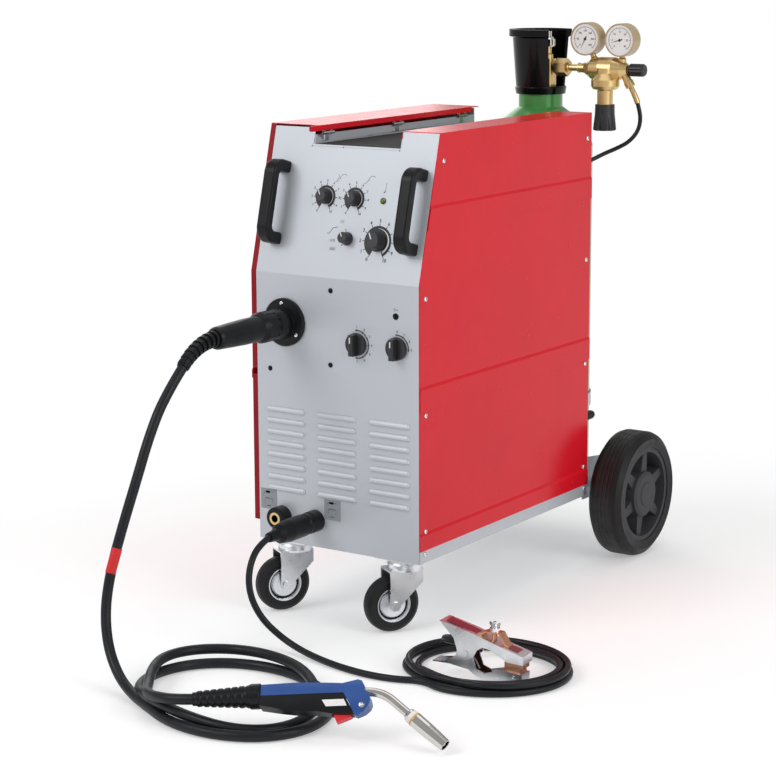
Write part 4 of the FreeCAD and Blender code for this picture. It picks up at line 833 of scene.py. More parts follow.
@dataclass
class Lead:
    """A round lead, drawn as one smooth open line."""

    name: str
    diameter: float
    route: list[Vector]
    nodes: tuple[str, ...]
    finish: Finish
    far_end: str
    stiffness: str
    lay: str
    with_pieces: tuple[str, ...] = ()
    body: str = "machine"
    slot: str = "cable_black"

    def measure(self, curve: bpy.types.Object) -> float:
        """Length of the line in metres, from the curve with no bevel."""
        graph = bpy.context.evaluated_depsgraph_get()
        mesh = bpy.data.meshes.new_from_object(curve.evaluated_get(graph))
        places = [vertex.co.copy() for vertex in mesh.vertices]
        bpy.data.meshes.remove(mesh)
        return sum((b - a).length for a, b in zip(places, places[1:]))

    def build(self) -> bpy.types.Object:
        data = bpy.data.curves.new(self.name, "CURVE")
        data.dimensions = "3D"
        data.resolution_u = 10
        spline = data.splines.new("NURBS")
        spline.points.add(len(self.route) - 1)
        for point, place in zip(spline.points, self.route):
            point.co = (*place, 1.0)
        spline.order_u = 3
        spline.use_endpoint_u = True
        data.use_fill_caps = True
        made = bpy.data.objects.new(self.name, data)
        bpy.context.scene.collection.objects.link(made)
        length = self.measure(made)
        data.bevel_depth = self.diameter * MM / 2
        data.bevel_resolution = 6
        data.materials.append(self.finish.material)
        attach(made, self.body)
        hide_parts(*self.nodes)
        LOG.info("%s: %.2f m of %.1f mm", self.name, length, self.diameter)
        return made


TORCH_RUN = [(-107, -285, 494), (-111, -330, 450), (-115, -365, 392), (-120, -393, 325), (-128, -420, 255),
             (-135.5, -445, 183), (-135, -463, 120), (-116, -480, 66), (-82, -496, 28), (-38, -516, 12),
             (12, -540, 9)]
TORCH_END = [(-8, -512, 26), (14, -540, 32), (40, -563, 38), (71, -577, 44), (102, -580, 47.5),
             (131, -568.9, 50)]
TORCH_TURNS = Turns(
    (98, -427), (203.5, 147.5), (174.5, 121.5), -28, -97, 613, 27,
    [(-97, 0.9, 8.6), (-20, 1, 8.6), (54, 0.9, 8.6), (110, 0, 8.6), (160, -1, 8.6), (200, -0.6, 8.6),
     (234, 0.9, 9), (263, 0.6, 27), (290, -0.1, 22), (339, -0.7, 9.5), (395, -1, 10), (430, -0.9, 22),
     (470, 0.2, 28), (519, 1, 25), (560, 0.1, 29), (594, -0.9, 29), (613, -1, 27)])
EARTH_RUN = [(-46, -138, 180), (-46, -166, 172), (-44, -189, 154), (-41, -203, 129), (-36, -207, 102),
             (-28, -203, 76), (-16, -194, 51), (3, -184, 30), (30, -181, 15), (74, -192, 8), (140, -211, 6.2),
             (208, -221, 6), (262, -216, 6), (306, -196, 6)]
EARTH_END = [(-38, -24, -112), (-56, -14, -88), (-66, -4, -58), (-62, 5, -27), (-42, 10, -6), (-12, 11.5, 0)]
EARTH_TURNS = Turns(
    (354, -88), (148.5, 129.5), (103, 92), 8, -123, 1201, 52,
    [(-123, 0.95, 6), (-40, 1, 6), (50, 1, 6), (140, 0.8, 6), (200, 0.5, 6), (237, 0.1, 6), (280, 0.15, 6),
     (320, 0.3, 6), (410, 0.2, 6), (500, 0.05, 6), (560, -0.3, 6), (597, -0.3, 17), (640, 0.5, 17.4),
     (680, 1, 17.4), (770, 0.75, 17.4), (860, 0.45, 17.4), (920, 0.3, 17.4), (957, 0.2, 17.4),
     (1000, 0.2, 17.4), (1040, 0.3, 17.4), (1100, 0.0, 17.4), (1130, -0.3, 16), (1170, -0.8, 14),
     (1201, -1, 18)], (365, -84))
HOSE_RUN = [(208.5, 697, 885), (214, 698, 868), (217, 700, 846), (213, 697, 824), (199, 688, 804),
            (180, 674, 792), (163, 658, 783), (150, 643, 774), (142, 627, 768), (140, 612, 765)]


def leads() -> list[Lead]:
    """The torch lead, the earth lead and the gas hose."""
    torch = [cab(*p) for p in TORCH_RUN] + TORCH_TURNS.points() + [cab(*p) for p in TORCH_END]
    earth = [cab(*p) for p in EARTH_RUN] + EARTH_TURNS.points() + [CLAMP.at(*p[:2], p[2]) for p in EARTH_END]
    hose = [cab(*p) for p in HOSE_RUN]
    return [
        Lead("torch_lead", 17.0, torch, ("torch_cable", "torch_cable_coil", "torch_cable_end"), Finish.CABLE,
             "object", "medium", "coiled", ("torch_plug",)),
        Lead("earth_lead", 11.5, earth, ("earth_cable", "earth_cable_coil", "earth_cable_end"), Finish.CABLE,
             "object", "limp", "coiled", ("earth_plug",)),
        Lead("supply_hose", 8.0, hose, ("gas_hose",), Finish.HOSE, "object", "medium", "hanging"),
    ]


# ---------------------------------------------------------------- CAD finishes
def dress_nodes() -> None:
    """Gives every CAD node that shows its finish."""
    plan = {
        Finish.CHASSIS_GREY: ("base_tray", "rear_panel", "feeder_bay", "rear_platform"),
        Finish.FRONT_GREY: ("front_panel",),
        Finish.RED: ("right_upper_panel", "right_middle_panel", "right_lower_panel", "left_lower_panel",
                     "feeder_door"),
        # The top channel's floor keeps this near-black paint as painted shade; its other faces turn front
        # grey further down.
        Finish.TRAY_GREY: ("top_channel",),
        Finish.BLACK: ("front_handles", "torch_socket", "torch_plug", "earth_sockets", "earth_plug",
                       "torch_rear_boot", "torch_grip", "rear_fittings"),
        Finish.KNOB: ("spot_time_knob", "soft_start_knob", "mode_knob", "wire_speed_knob", "coarse_step_knob",
                      "fine_step_knob", "regulator_knob", "outlet_knob"),
        Finish.GREY_PLASTIC: ("control_units",),
        Finish.ZINC: ("clamp_upper_arm", "clamp_lower_arm", "caster_plates", "caster_fork_left",
                      "caster_fork_right"),
        Finish.COPPER: ("clamp_upper_contacts", "clamp_lower_contact"),
        Finish.BLUE: ("torch_top_shell",),
        Finish.RED_PLASTIC: ("torch_trigger",),
        Finish.NICKEL: ("torch_neck", "torch_nozzle"),
        Finish.WHEEL: ("rear_wheel_left", "rear_wheel_right"),
        Finish.TYRE: ("caster_wheel_left", "caster_wheel_right"),
        Finish.GREEN: ("gas_cylinder",),
        Finish.GLOSS_BLACK: ("cylinder_cap",),
        Finish.BRASS: ("cylinder_valve", "regulator_body"),
        Finish.CHROME: ("valve_handwheel",),
        Finish.GAUGE_CASE: ("pressure_gauges",),
        Finish.STEEL: ("cylinder_strap", "feeder_unit"),
        Finish.WINDING: ("wire_spool",),
        Finish.CORE: ("transformer",),
    }
    for finish, nodes in plan.items():
        dress(finish, *nodes)


# ---------------------------------------------------------------- screws and plugs
SCREW_RINGS = ((4.0, 0, 0.0), (4.0, 0, 0.9), (3.5, 0, 1.8), (2.3, 0, 2.4), (1.6, 0.35, 2.5), (1.5, 0.35, 0.9))
SCREW_STEPS = 24


def star_screw(bm: bmesh.types.BMesh) -> None:
    """Pan-head screw, 8 mm across, with a six-lobed recess."""
    rings = []
    for radius, lobe, height in SCREW_RINGS:
        ring = []
        for k in range(SCREW_STEPS):
            reach = (radius - lobe * (k % 4 > 1)) * MM
            angle = math.tau * k / SCREW_STEPS
            ring.append(bm.verts.new((reach * math.cos(angle), reach * math.sin(angle), height * MM)))
        rings.append(ring)
    for low, high in zip(rings, rings[1:]):
        for k in range(SCREW_STEPS):
            n = (k + 1) % SCREW_STEPS
            bm.faces.new((low[k], low[n], high[n], high[k]))
    bm.faces.new(rings[-1])
    bm.faces.new(rings[0][::-1])


def plug(bm: bmesh.types.BMesh) -> None:
    """Round push-in plug, 9 mm across, with a low dome."""
    lathe(bm, [(0, 0), (4.6, 0), (4.6, 0.7), (3.6, 1.5), (1.8, 1.9), (0, 2.0)], Matrix(), 24)


SIDE_SCREWS = ((74.6, 818.5), (573.3, 818.6), (17.9, 591), (573.2, 591), (18.5, 390.6), (574.3, 391.7),
               (17.4, 187.6), (574.3, 190.3), (15.6, 148), (577.6, 148.6))
REAR_SCREWS = ((-150, 820), (150, 820), (-150, 500), (150, 500), (-150, 210), (0, 160), (130, 160))
FRONT_PLUGS = ((-9.6, 592.3), (-141.1, 443.5), (-11, 462.3))
FLANGE_CENTRE = (-107.0, 529.0)
FLANGE_PITCH_RADIUS = 34.2
FLANGE_FACE = 7.4
FLANGE_SCREWS = (94.0, -34.8, 214.0)
HANDLE_FEET = [(x, h) for x in (-137.5, 146.5) for h in (60.5, 186.5)]


def fasteners(repeat: Repeat) -> None:
    """Screws of the side sheets, the rear panel and the torch flange, and the front's plugs."""
    screw = template("screw_template", star_screw)
    button = template("plug_template", plug)
    sides = [(RIGHT.at(y, z), RIGHT.w) for y, z in SIDE_SCREWS]
    repeat.make("side_screws", screw, sides, Finish.CHROME, "machine", 1.1)
    rear = Seat((0, CABINET_LENGTH, 0), (-1, 0, 0), (0, 0, 1))
    backs = [(rear.at(x, z), rear.w) for x, z in REAR_SCREWS]
    repeat.make("rear_screws", screw, backs, Finish.ZINC, "machine")
    flange = [(FRONT.at(FLANGE_CENTRE[0] + FLANGE_PITCH_RADIUS * math.cos(math.radians(a)),
                        FLANGE_CENTRE[1] + FLANGE_PITCH_RADIUS * math.sin(math.radians(a)), FLANGE_FACE),
               FRONT.w)
              for a in FLANGE_SCREWS]
    repeat.make("flange_screws", screw, flange, Finish.CHROME, "machine", 0.92)
    fronts = [(FRONT.at(x, z), FRONT.w) for x, z in FRONT_PLUGS]
    repeat.make("front_plugs", button, fronts, Finish.GLOSS_BLACK, "machine", 1.0, 0.0)
    feet = [(SLOPE.at(x, h, 0), SLOPE.w) for x, h in HANDLE_FEET]
    repeat.make("handle_washers", button, feet, Finish.BLACK, "machine", 0.6, 0.0)


# ---------------------------------------------------------------- prints
class Ink:
    """Thin screen-printed marks laid on a seat; angles run clockwise from straight up."""

    RISE = 0.06
    THICK = 0.1

    def __init__(self, seat: Seat, rise: float = RISE) -> None:
        """Starts an empty print.

        Args:
            seat: the surface it lies on.
            rise: height of the print above the surface, in millimetres.
        """
        self.seat = seat
        self.rise = rise
        self.bm = bmesh.new()
        self.finishes: list[Finish] = []

    def layer(self, finish: Finish) -> int:
        """Index of a finish in the print."""
        if finish not in self.finishes:
            self.finishes.append(finish)
        return self.finishes.index(finish)

    def shape(self, outline: Sequence[Point], finish: Finish = Finish.BLACK_INK, lift: float = 0.0) -> None:
        """Fills an outline of (a, b) points."""
        slab(self.bm, outline, self.THICK, self.seat.matrix(0, 0, self.rise + lift), self.layer(finish))

    def line(self, start: Point, end: Point, width: float = 0.7, finish: Finish = Finish.BLACK_INK,
             lift: float = 0.0) -> None:
        """Draws a straight stroke."""
        run = Vector(end[:2]) - Vector(start[:2])
        across = Vector((-run.y, run.x)).normalized() * width / 2
        a, b = Vector(start[:2]), Vector(end[:2])
        self.shape([a + across, a - across, b - across, b + across], finish, lift)

    def trail(self, points: Sequence[Point], width: float = 0.7, finish: Finish = Finish.BLACK_INK) -> None:
        """Draws strokes from point to point."""
        for start, end in zip(points, points[1:]):
            self.line(start, end, width, finish)

    def sector(self, centre: Point, start: float, end: float, outer: float, inner: Sequence[float],
               finish: Finish = Finish.BLACK_INK, lift: float = 0.0) -> None:
        """Fills a ring sector; its inner radius runs from the first to the last of inner."""
        steps = 40
        rim, core = [], []
        for k in range(steps + 1):
            a = math.radians(start + (end - start) * k / steps)
            r = inner[0] + (inner[-1] - inner[0]) * k / steps
            rim.append((centre[0] + outer * math.sin(a), centre[1] + outer * math.cos(a)))
            core.append((centre[0] + r * math.sin(a), centre[1] + r * math.cos(a)))
        mesh_place = self.seat.matrix(0, 0, self.rise + lift)
        index = self.layer(finish)
        for k in range(steps):
            slab(self.bm, [rim[k], core[k], core[k + 1], rim[k + 1]], self.THICK, mesh_place, index)

    def ticks(self, centre: Point, angles: Iterable[float], inner: float, outer: float, width: float = 0.7,
              finish: Finish = Finish.BLACK_INK, lift: float = 0.0) -> None:
        """Draws radial ticks."""
        for angle in angles:
            a = math.radians(angle)
            way = Vector((math.sin(a), math.cos(a)))
            self.line(Vector(centre[:2]) + way * inner, Vector(centre[:2]) + way * outer, width, finish, lift)

    def text(self, word: str, centre: Point, height: float, finish: Finish = Finish.BLACK_INK,
             lift: float = 0.0) -> None:
        """Sets a number, centred on a point."""
        data = bpy.data.curves.new("number", "FONT")
        data.body = word
        data.align_x = "CENTER"
        data.align_y = "CENTER"
        data.size = height * MM / 0.72
        data.extrude = self.THICK * MM / 2
        data.resolution_u = 3
        data.offset = height * MM * 0.03
        holder = bpy.data.objects.new("number", data)
        bpy.context.scene.collection.objects.link(holder)
        mesh = bpy.data.meshes.new_from_object(holder.evaluated_get(bpy.context.evaluated_depsgraph_get()))
        mesh.transform(self.seat.matrix(centre[0], centre[1], self.rise + lift + self.THICK / 2))
        index = self.layer(finish)
        first = len(self.bm.faces)
        self.bm.from_mesh(mesh)
        self.bm.faces.ensure_lookup_table()
        for face in self.bm.faces[first:]:
            face.material_index = index
        bpy.data.objects.remove(holder)
        bpy.data.curves.remove(data)
        bpy.data.meshes.remove(mesh)

    def finish(self, name: str, body: str = "machine") -> bpy.types.Object:
        """Ends the print as a piece."""
        bmesh.ops.recalc_face_normals(self.bm, faces=self.bm.faces)
        mesh = bpy.data.meshes.new(name)
        self.bm.to_mesh(mesh)
        self.bm.free()
        return piece(name, mesh, body, self.finishes, smooth=None)


@dataclass(frozen=True)
class Dial:
    """Ring, ticks and numbers round a potentiometer knob."""

    name: str
    spot: tuple[float, float]
    knob: float
    ring: float
    numbers: float
    height: float
    crescent: tuple[float, float, float]

    def build(self) -> None:
        """Prints the dial: a black ring, a crescent that grows clockwise, ticks and 0 to 10."""
        ink = Ink(SLOPE)
        ink.sector(self.spot, -152, 152, self.ring, (self.knob - 2,))
        outer, wide, start = self.crescent
        ink.sector(self.spot, start, 146, outer, (outer - 0.3, outer - wide), Finish.WHITE_INK, 0.12)
        ink.ticks(self.spot, range(-150, 151, 30), self.ring - 1, self.ring + 4.2, 1.2)
        for k in range(11):
            a = math.radians(-150 + 30 * k)
            place = (self.spot[0] + self.numbers * math.sin(a), self.spot[1] + self.numbers * math.cos(a))
            ink.text(str(k), place, self.height)
        ink.finish(self.name)


DIALS = (
    Dial("spot_time_dial", (-43.0, 139.0), 12.5, 20.5, 28.5, 4.2, (15.8, 1.1, -10)),
    Dial("soft_start_dial", (17.5, 138.5), 12.5, 20.5, 28.5, 4.2, (15.8, 1.1, -10)),
    Dial("wire_speed_dial", (77.0, 69.0), 17.0, 27.5, 36.0, 6.0, (23.0, 4.0, -5)),
)


def slope_icons() -> None:
    """Plain line symbols over the small knobs and the mode switch's marks."""
    ink = Ink(SLOPE)
    for x, y in ((-14, 174), (45, 174)):
        ink.trail([(x - 13, y - 7), (x - 8, y - 7), (x - 1, y + 4), (x + 2, y + 6), (x + 7, y + 6),
                   (x + 10, y + 4)], 0.6)
        ink.line((x - 4, y - 1), (x - 1.5, y - 2.6), 0.5)
    ink.trail([(-24, 168), (-20, 176), (-22, 180)], 0.5)
    ink.trail([(77, 152), (79, 160), (79, 170)], 0.6)
    ink.line((75.5, 153.5), (79, 155.5), 1.6)
    ink.ticks((14, 70), (-20, -60, -100, -140), 12.5, 17.5, 1.3)
    ink.trail([(-30, 77), (-25, 77), (-18, 87), (-8, 89)], 0.9)
    for k in range(4):
        ink.line((-20 + 2.6 * k, 63), (-20 + 2.6 * k, 68), 1.3, Finish.GREY_INK)
    for k in range(6):
        ink.line((-19 + 2.0 * k, 48), (-19 + 2.0 * k, 53.6), 1.2, Finish.GREY_INK)
    for k in range(3):
        ink.line((-5 + 2.8 * k, 96), (-3 + 2.8 * k, 102), 0.9, Finish.GREY_INK)
    fold = (836 - SLOPE.corner[2]) / math.cos(LEAN) - 3.2
    ink.line((-86, fold), (97, fold), 0.5, Finish.GREY_INK)
    for x in (-86, -20, 96):
        ink.sector((x, fold), 0, 360, 1.3, (0.01,))
    ink.finish("slope_symbols")


def step_dials() -> None:
    """Numbers and arcs round the two step switches, and the mains lamp's mark."""
    ink = Ink(FRONT)
    coarse, fine = (44.8, 504.2), (127.4, 504.6)
    ink.sector(coarse, -8, 188, 25.2, (23.3,))
    ink.ticks(coarse, range(0, 181, 30), 22.0, 26.6, 0.9)
    for k in range(7):
        a = math.radians(30 * k)
        ink.text(str(k + 1), (coarse[0] + 30.5 * math.sin(a), coarse[1] + 30.5 * math.cos(a)), 4.2)
    ink.sector(fine, -8, 98, 24.2, (22.3,))
    ink.ticks(fine, range(0, 91, 30), 21.5, 25.6, 0.9)
    for k in range(4):
        a = math.radians(30 * k)
        ink.text(str(k), (fine[0] + 29.0 * math.sin(a), fine[1] + 29.0 * math.cos(a)), 4.2)
    ink.trail([(121.5, 568.4), (129, 570.6), (121.5, 572.8), (121.5, 568.4)], 0.6)
    ink.finish("switch_marks")


def socket_plates() -> None:
    """Two grey plates over the earth sockets, each with a plain choke mark."""
    ink = Ink(FRONT)
    for x0, z0, taps in ((-165.8, 187, 2), (-27.4, 185, 4)):
        ink.shape([(x0, z0), (x0 + 35.5, z0), (x0 + 35.5, z0 + 37), (x0, z0 + 37)], Finish.PLATE)
        ink.trail([(x0 + 5, z0 + 25), (x0 + 9, z0 + 31), (x0 + 27, z0 + 31)], 0.6)
        ink.shape([(x0 + 11, z0 + 29), (x0 + 20, z0 + 29), (x0 + 20, z0 + 33), (x0 + 11, z0 + 33)])
        ink.trail([(x0 + 9, z0 + 10), (x0 + 9, z0 + 19), (x0 + 25, z0 + 19), (x0 + 25, z0 + 10)], 0.6)
        for k in range(taps):
            ink.sector((x0 + 13 + 3.2 * k, z0 + 19), -90, 90, 1.9, (1.4,))
        ink.line((x0 + 13, z0 + 6), (x0 + 21, z0 + 6), 1.3)
    ink.finish("socket_plates")


@dataclass(frozen=True)
class Pointer:
    """White line on a knob; it turns with the knob."""

    name: str
    body: str
    seat: Seat
    spot: tuple[float, float]
    top: float
    reach: tuple[float, float]
    angle: float
    width: float = 1.5
    drop: float = 0.0

    def build(self) -> None:
        """Lays the line on the knob's top face, and down its flank where it goes on."""
        ink = Ink(self.seat, self.top + 0.03)
        ink.ticks(self.spot, (self.angle,), self.reach[0], self.reach[1], self.width, Finish.WHITE_INK)
        if self.drop:
            a = math.radians(self.angle)
            place = self.seat.matrix(*self.spot, self.top) @ Matrix.Rotation(-a, 4, "Z")
            half = self.width / 2
            edge = self.reach[1]
            block(ink.bm, (-half, edge + 0.9, -self.drop), (half, edge + 1.35, -1.0), place,
                  ink.layer(Finish.WHITE_INK))
        ink.finish(self.name, self.body)


POINTERS = (
    Pointer("spot_time_pointer", "spot_time_knob", SLOPE, (-43, 139), 17.6, (1.5, 9.6), -27, 1.6, 12),
    Pointer("soft_start_pointer", "soft_start_knob", SLOPE, (17.5, 138.5), 17.6, (1.5, 9.6), -27, 1.6, 12),
    Pointer("mode_pointer", "mode_knob", SLOPE, (14, 70), 17.6, (1.5, 8.8), -27, 1.6, 12),
    Pointer("wire_speed_pointer", "wire_speed_knob", SLOPE, (77, 69), 20.6, (2.0, 13.4), -27, 2.0, 14),
    Pointer("coarse_step_pointer", "coarse_step_knob", FRONT, (44.8, 504.2), 22.6, (4.5, 14.6), 0, 2.2),
    Pointer("fine_step_pointer", "fine_step_knob", FRONT, (127.4, 504.6), 22.6, (4.5, 14.6), 0, 2.2),
)


# ---------------------------------------------------------------- gas supply
GAUGE_FACE_Y = 683.5
GAUGE_SWEEP = 270           # degrees from the first mark to the last
GAUGE_START = -135
PRINT_LIFT = 0.12           # of the scale over its card
BEZEL = ((28.9, 0.1), (31.15, 0.1), (31.15, 1.2), (30.3, 1.9), (29.4, 1.9), (28.9, 1.2))
PIPE_BORE = 6.6


@dataclass(frozen=True)
class Gauge:
    """White face, scale, needle and rim of one pressure gauge."""

    name: str
    spot: tuple[float, float]
    top: int
    step: int
    needle: float

    def build(self) -> None:
        """Lays the card, the scale with plain numbers, and the needle."""
        seat = Seat((self.spot[0], GAUGE_FACE_Y, self.spot[1]), (1, 0, 0), (0, 0, 1))
        ink = Ink(seat, 0.1)
        ink.sector((0, 0), 0, 360, 28.7, (0.01,), Finish.WHITE_CARD)
        ink.sector((0, 0), GAUGE_START, GAUGE_START + GAUGE_SWEEP, 23.4, (22.8,), lift=PRINT_LIFT)
        for parts, inner, width in ((30, 21.4, 0.35), (6, 19.6, 0.8)):
            marks = [GAUGE_START + GAUGE_SWEEP * k / parts for k in range(parts + 1)]
            ink.ticks((0, 0), marks, inner, 23.2, width, lift=PRINT_LIFT)
        for k in range(0, self.top + 1, self.step):
            a = math.radians(GAUGE_START + GAUGE_SWEEP * k / self.top)
            ink.text(str(k), (15.6 * math.sin(a), 15.6 * math.cos(a)), 3.4, lift=PRINT_LIFT)
        a = math.radians(self.needle)
        way, side = Vector((math.sin(a), math.cos(a))), Vector((math.cos(a), -math.sin(a)))
        ink.shape([side * -1.1 - way * 6, side * 1.1 - way * 6, side * 0.9, way * 20, side * -0.9], lift=0.5)
        lathe(ink.bm, [(0, 0.4), (2.6, 0.4), (2.6, 1.1), (1.8, 1.4), (0, 1.4)], seat.matrix(), 20,
              ink.layer(Finish.BLACK_INK))
        ink.finish(self.name)
        rim = grow(lambda bm: lathe(bm, BEZEL, seat.matrix(), 64), self.name + "_bezel")
        piece(self.name + "_bezel", rim, "machine", [Finish.GAUGE_CASE])


GAUGES = (
    Gauge("pressure_gauge_left", (104.0, 995.5), 300, 50, -152),
    Gauge("pressure_gauge_right", (178.0, 994.7), 30, 5, -105),
)


def regulator_trim() -> None:
    """Collars along the inlet pipe."""
    def build(bm: bmesh.types.BMesh) -> None:
        for start, radius, width in ((60.6, 9.6, 3.2), (83.5, 9.8, 3.0), (96.5, 10.4, 2.6)):
            turned = (Matrix.Translation(cab(start, CYLINDER_Y, PIPE_Z))
                      @ Matrix.Rotation(math.radians(90), 4, "Y"))
            lathe(bm, [(PIPE_BORE, 0), (radius - 1, 0), (radius, 0.8), (radius, width - 0.8),
                       (radius - 1, width), (PIPE_BORE, width)], turned, 32)
    piece("pipe_collars", grow(build, "pipe_collars"), "machine", [Finish.BRASS])


def sleeve(bm: bmesh.types.BMesh, points: Sequence[Vector], radius: float, steps: int = 28) -> None:
    """Adds a tube with closed ends along points, radius in millimetres."""
    rings = []
    across = None
    for k, spot in enumerate(points):
        ahead = (points[min(k + 1, len(points) - 1)] - points[max(k - 1, 0)]).normalized()
        across = (ahead.orthogonal() if across is None else across - ahead * across.dot(ahead)).normalized()
        up = ahead.cross(across)
        ring = []
        for n in range(steps):
            angle = math.tau * n / steps
            ring.append(bm.verts.new(spot + (across * math.cos(angle) + up * math.sin(angle)) * radius * MM))
        rings.append(ring)
    for low, high in zip(rings, rings[1:]):
        for n in range(steps):
            m = (n + 1) % steps
            bm.faces.new((low[n], low[m], high[m], high[n]))
    bm.faces.new(rings[0][::-1])
    bm.faces.new(rings[-1])


TAPE_RADIUS = 8.85
FERRULE_RADIUS = 5.3


def lead_trim() -> None:
    """Red tape on the torch lead and ferrules on the gas hose."""
    def tape(bm: bmesh.types.BMesh) -> None:
        low, high = Vector(cab(-135.0, -447, 178)), Vector(cab(-131.2, -433, 217))
        sleeve(bm, [low.lerp(high, k / 6) for k in range(7)], TAPE_RADIUS)
    piece("lead_tape", grow(tape, "lead_tape"), "machine", [Finish.RED_TAPE])

    def ferrules(bm: bmesh.types.BMesh) -> None:
        for run in (((202.6, 697, 896), (208.6, 697, 884.5), (211.2, 697.4, 877)),
                    ((140, 611.5, 765), (141.7, 624, 767.6))):
            sleeve(bm, [cab(*p) for p in run], FERRULE_RADIUS)
    piece("hose_ferrules", grow(ferrules, "hose_ferrules"), "machine", [Finish.BRASS])


# ---------------------------------------------------------------- torch and clamp
OVAL_HALF_WIDTH = 15.0      # of the handle's section
OVAL_HALF_HEIGHT = 33.0
OVAL_DROP = 9.5             # its middle below the cable's line
BOLT_PLACE = (-6.0, -24.0)
NECK_BEND_ANGLE = 42.5
NECK_BEND_RADIUS = 58.0
NECK_STRAIGHT = 32.0


def torch_trim() -> None:
    """Blank label, handle bolts, nozzle insulator and amber ring."""
    def flank(a: float, b: float, rise: float) -> Vector:
        """Point over the handle's oval flank on the side of w."""
        half = OVAL_HALF_WIDTH * math.sqrt(max(0.0, 1 - ((b + OVAL_DROP) / OVAL_HALF_HEIGHT) ** 2))
        return Vector(TORCH.at(a, b, half + rise))

    def label(bm: bmesh.types.BMesh) -> None:
        corners = ((-66.5, -14.5), (-33.0, -14.5), (-28.5, -24.5), (-60.5, -24.5))
        rows, columns = 6, 8
        grid = []
        for i in range(rows + 1):
            left = Vector(corners[0]).lerp(Vector(corners[3]), i / rows)
            right = Vector(corners[1]).lerp(Vector(corners[2]), i / rows)
            grid.append([left.lerp(right, j / columns) for j in range(columns + 1)])
        tops = [[bm.verts.new(flank(p.x, p.y, 0.35)) for p in row] for row in grid]
        base = [[bm.verts.new(flank(p.x, p.y, 0.02)) for p in row] for row in grid]
        for i in range(rows):
            for j in range(columns):
                bm.faces.new((tops[i][j], tops[i + 1][j], tops[i + 1][j + 1], tops[i][j + 1]))
                bm.faces.new((base[i][j], base[i][j + 1], base[i + 1][j + 1], base[i + 1][j]))
        rim = [(0, j) for j in range(columns)] + [(i, columns) for i in range(rows)]
        rim += [(rows, j) for j in range(columns, 0, -1)] + [(i, 0) for i in range(rows, 0, -1)]
        for (i, j), (m, n) in zip(rim, rim[1:] + rim[:1]):
            bm.faces.new((tops[i][j], tops[m][n], base[m][n], base[i][j]))
    piece("torch_label", grow(label, "torch_label"), "machine", [Finish.WHITE_CARD])

    def bolt(bm: bmesh.types.BMesh) -> None:
        half = 15.4 * math.sqrt(1 - ((BOLT_PLACE[1] + OVAL_DROP) / OVAL_HALF_HEIGHT) ** 2)
        for side in (1, -1):
            place = (TORCH.matrix(*BOLT_PLACE, side * (half - 0.6))
                     @ Matrix.Rotation(0 if side > 0 else math.pi, 4, "X"))
            lathe(bm, [(0, 0), (4.6, 0), (4.6, 0.9), (3.6, 0.9), (3.4, 2.2), (2.2, 2.5), (0, 1.2)], place, 24)
    piece("torch_bolts", grow(bolt, "torch_bolts"), "machine", [Finish.CHROME])
    a = math.radians(NECK_BEND_ANGLE)
    way = TORCH.u * math.cos(a) - TORCH.v * math.sin(a)
    root = TORCH.at(NECK_BEND_RADIUS * math.sin(a) + NECK_STRAIGHT * math.cos(a),
                    -NECK_BEND_RADIUS * (1 - math.cos(a)) - NECK_STRAIGHT * math.sin(a))
    place = Matrix.Translation(root) @ way.to_track_quat("Z", "Y").to_matrix().to_4x4()

    def insulator(bm: bmesh.types.BMesh) -> None:
        lathe(bm, [(10.25, 5.0), (11.3, 5.4), (11.3, 11.6), (10.9, 12.0), (10.25, 12.0)], place, 40)
        lathe(bm, [(10.9, 12.05), (11.75, 12.3), (11.95, 14.6), (11.2, 14.9)], place, 40, 1)
    finishes = [Finish.CERAMIC, Finish.AMBER]
    piece("nozzle_insulator", grow(insulator, "nozzle_insulator"), "machine", finishes)


SPRING_RADIUS = 7.2
SPRING_WIRE = 1.3
SPRING_TURNS = 5
SPRING_HALF = 8             # half its length along the pivot
RIVET_PLACES = ((88, -27), (60, -31))
RIVET_FACE = 14.0


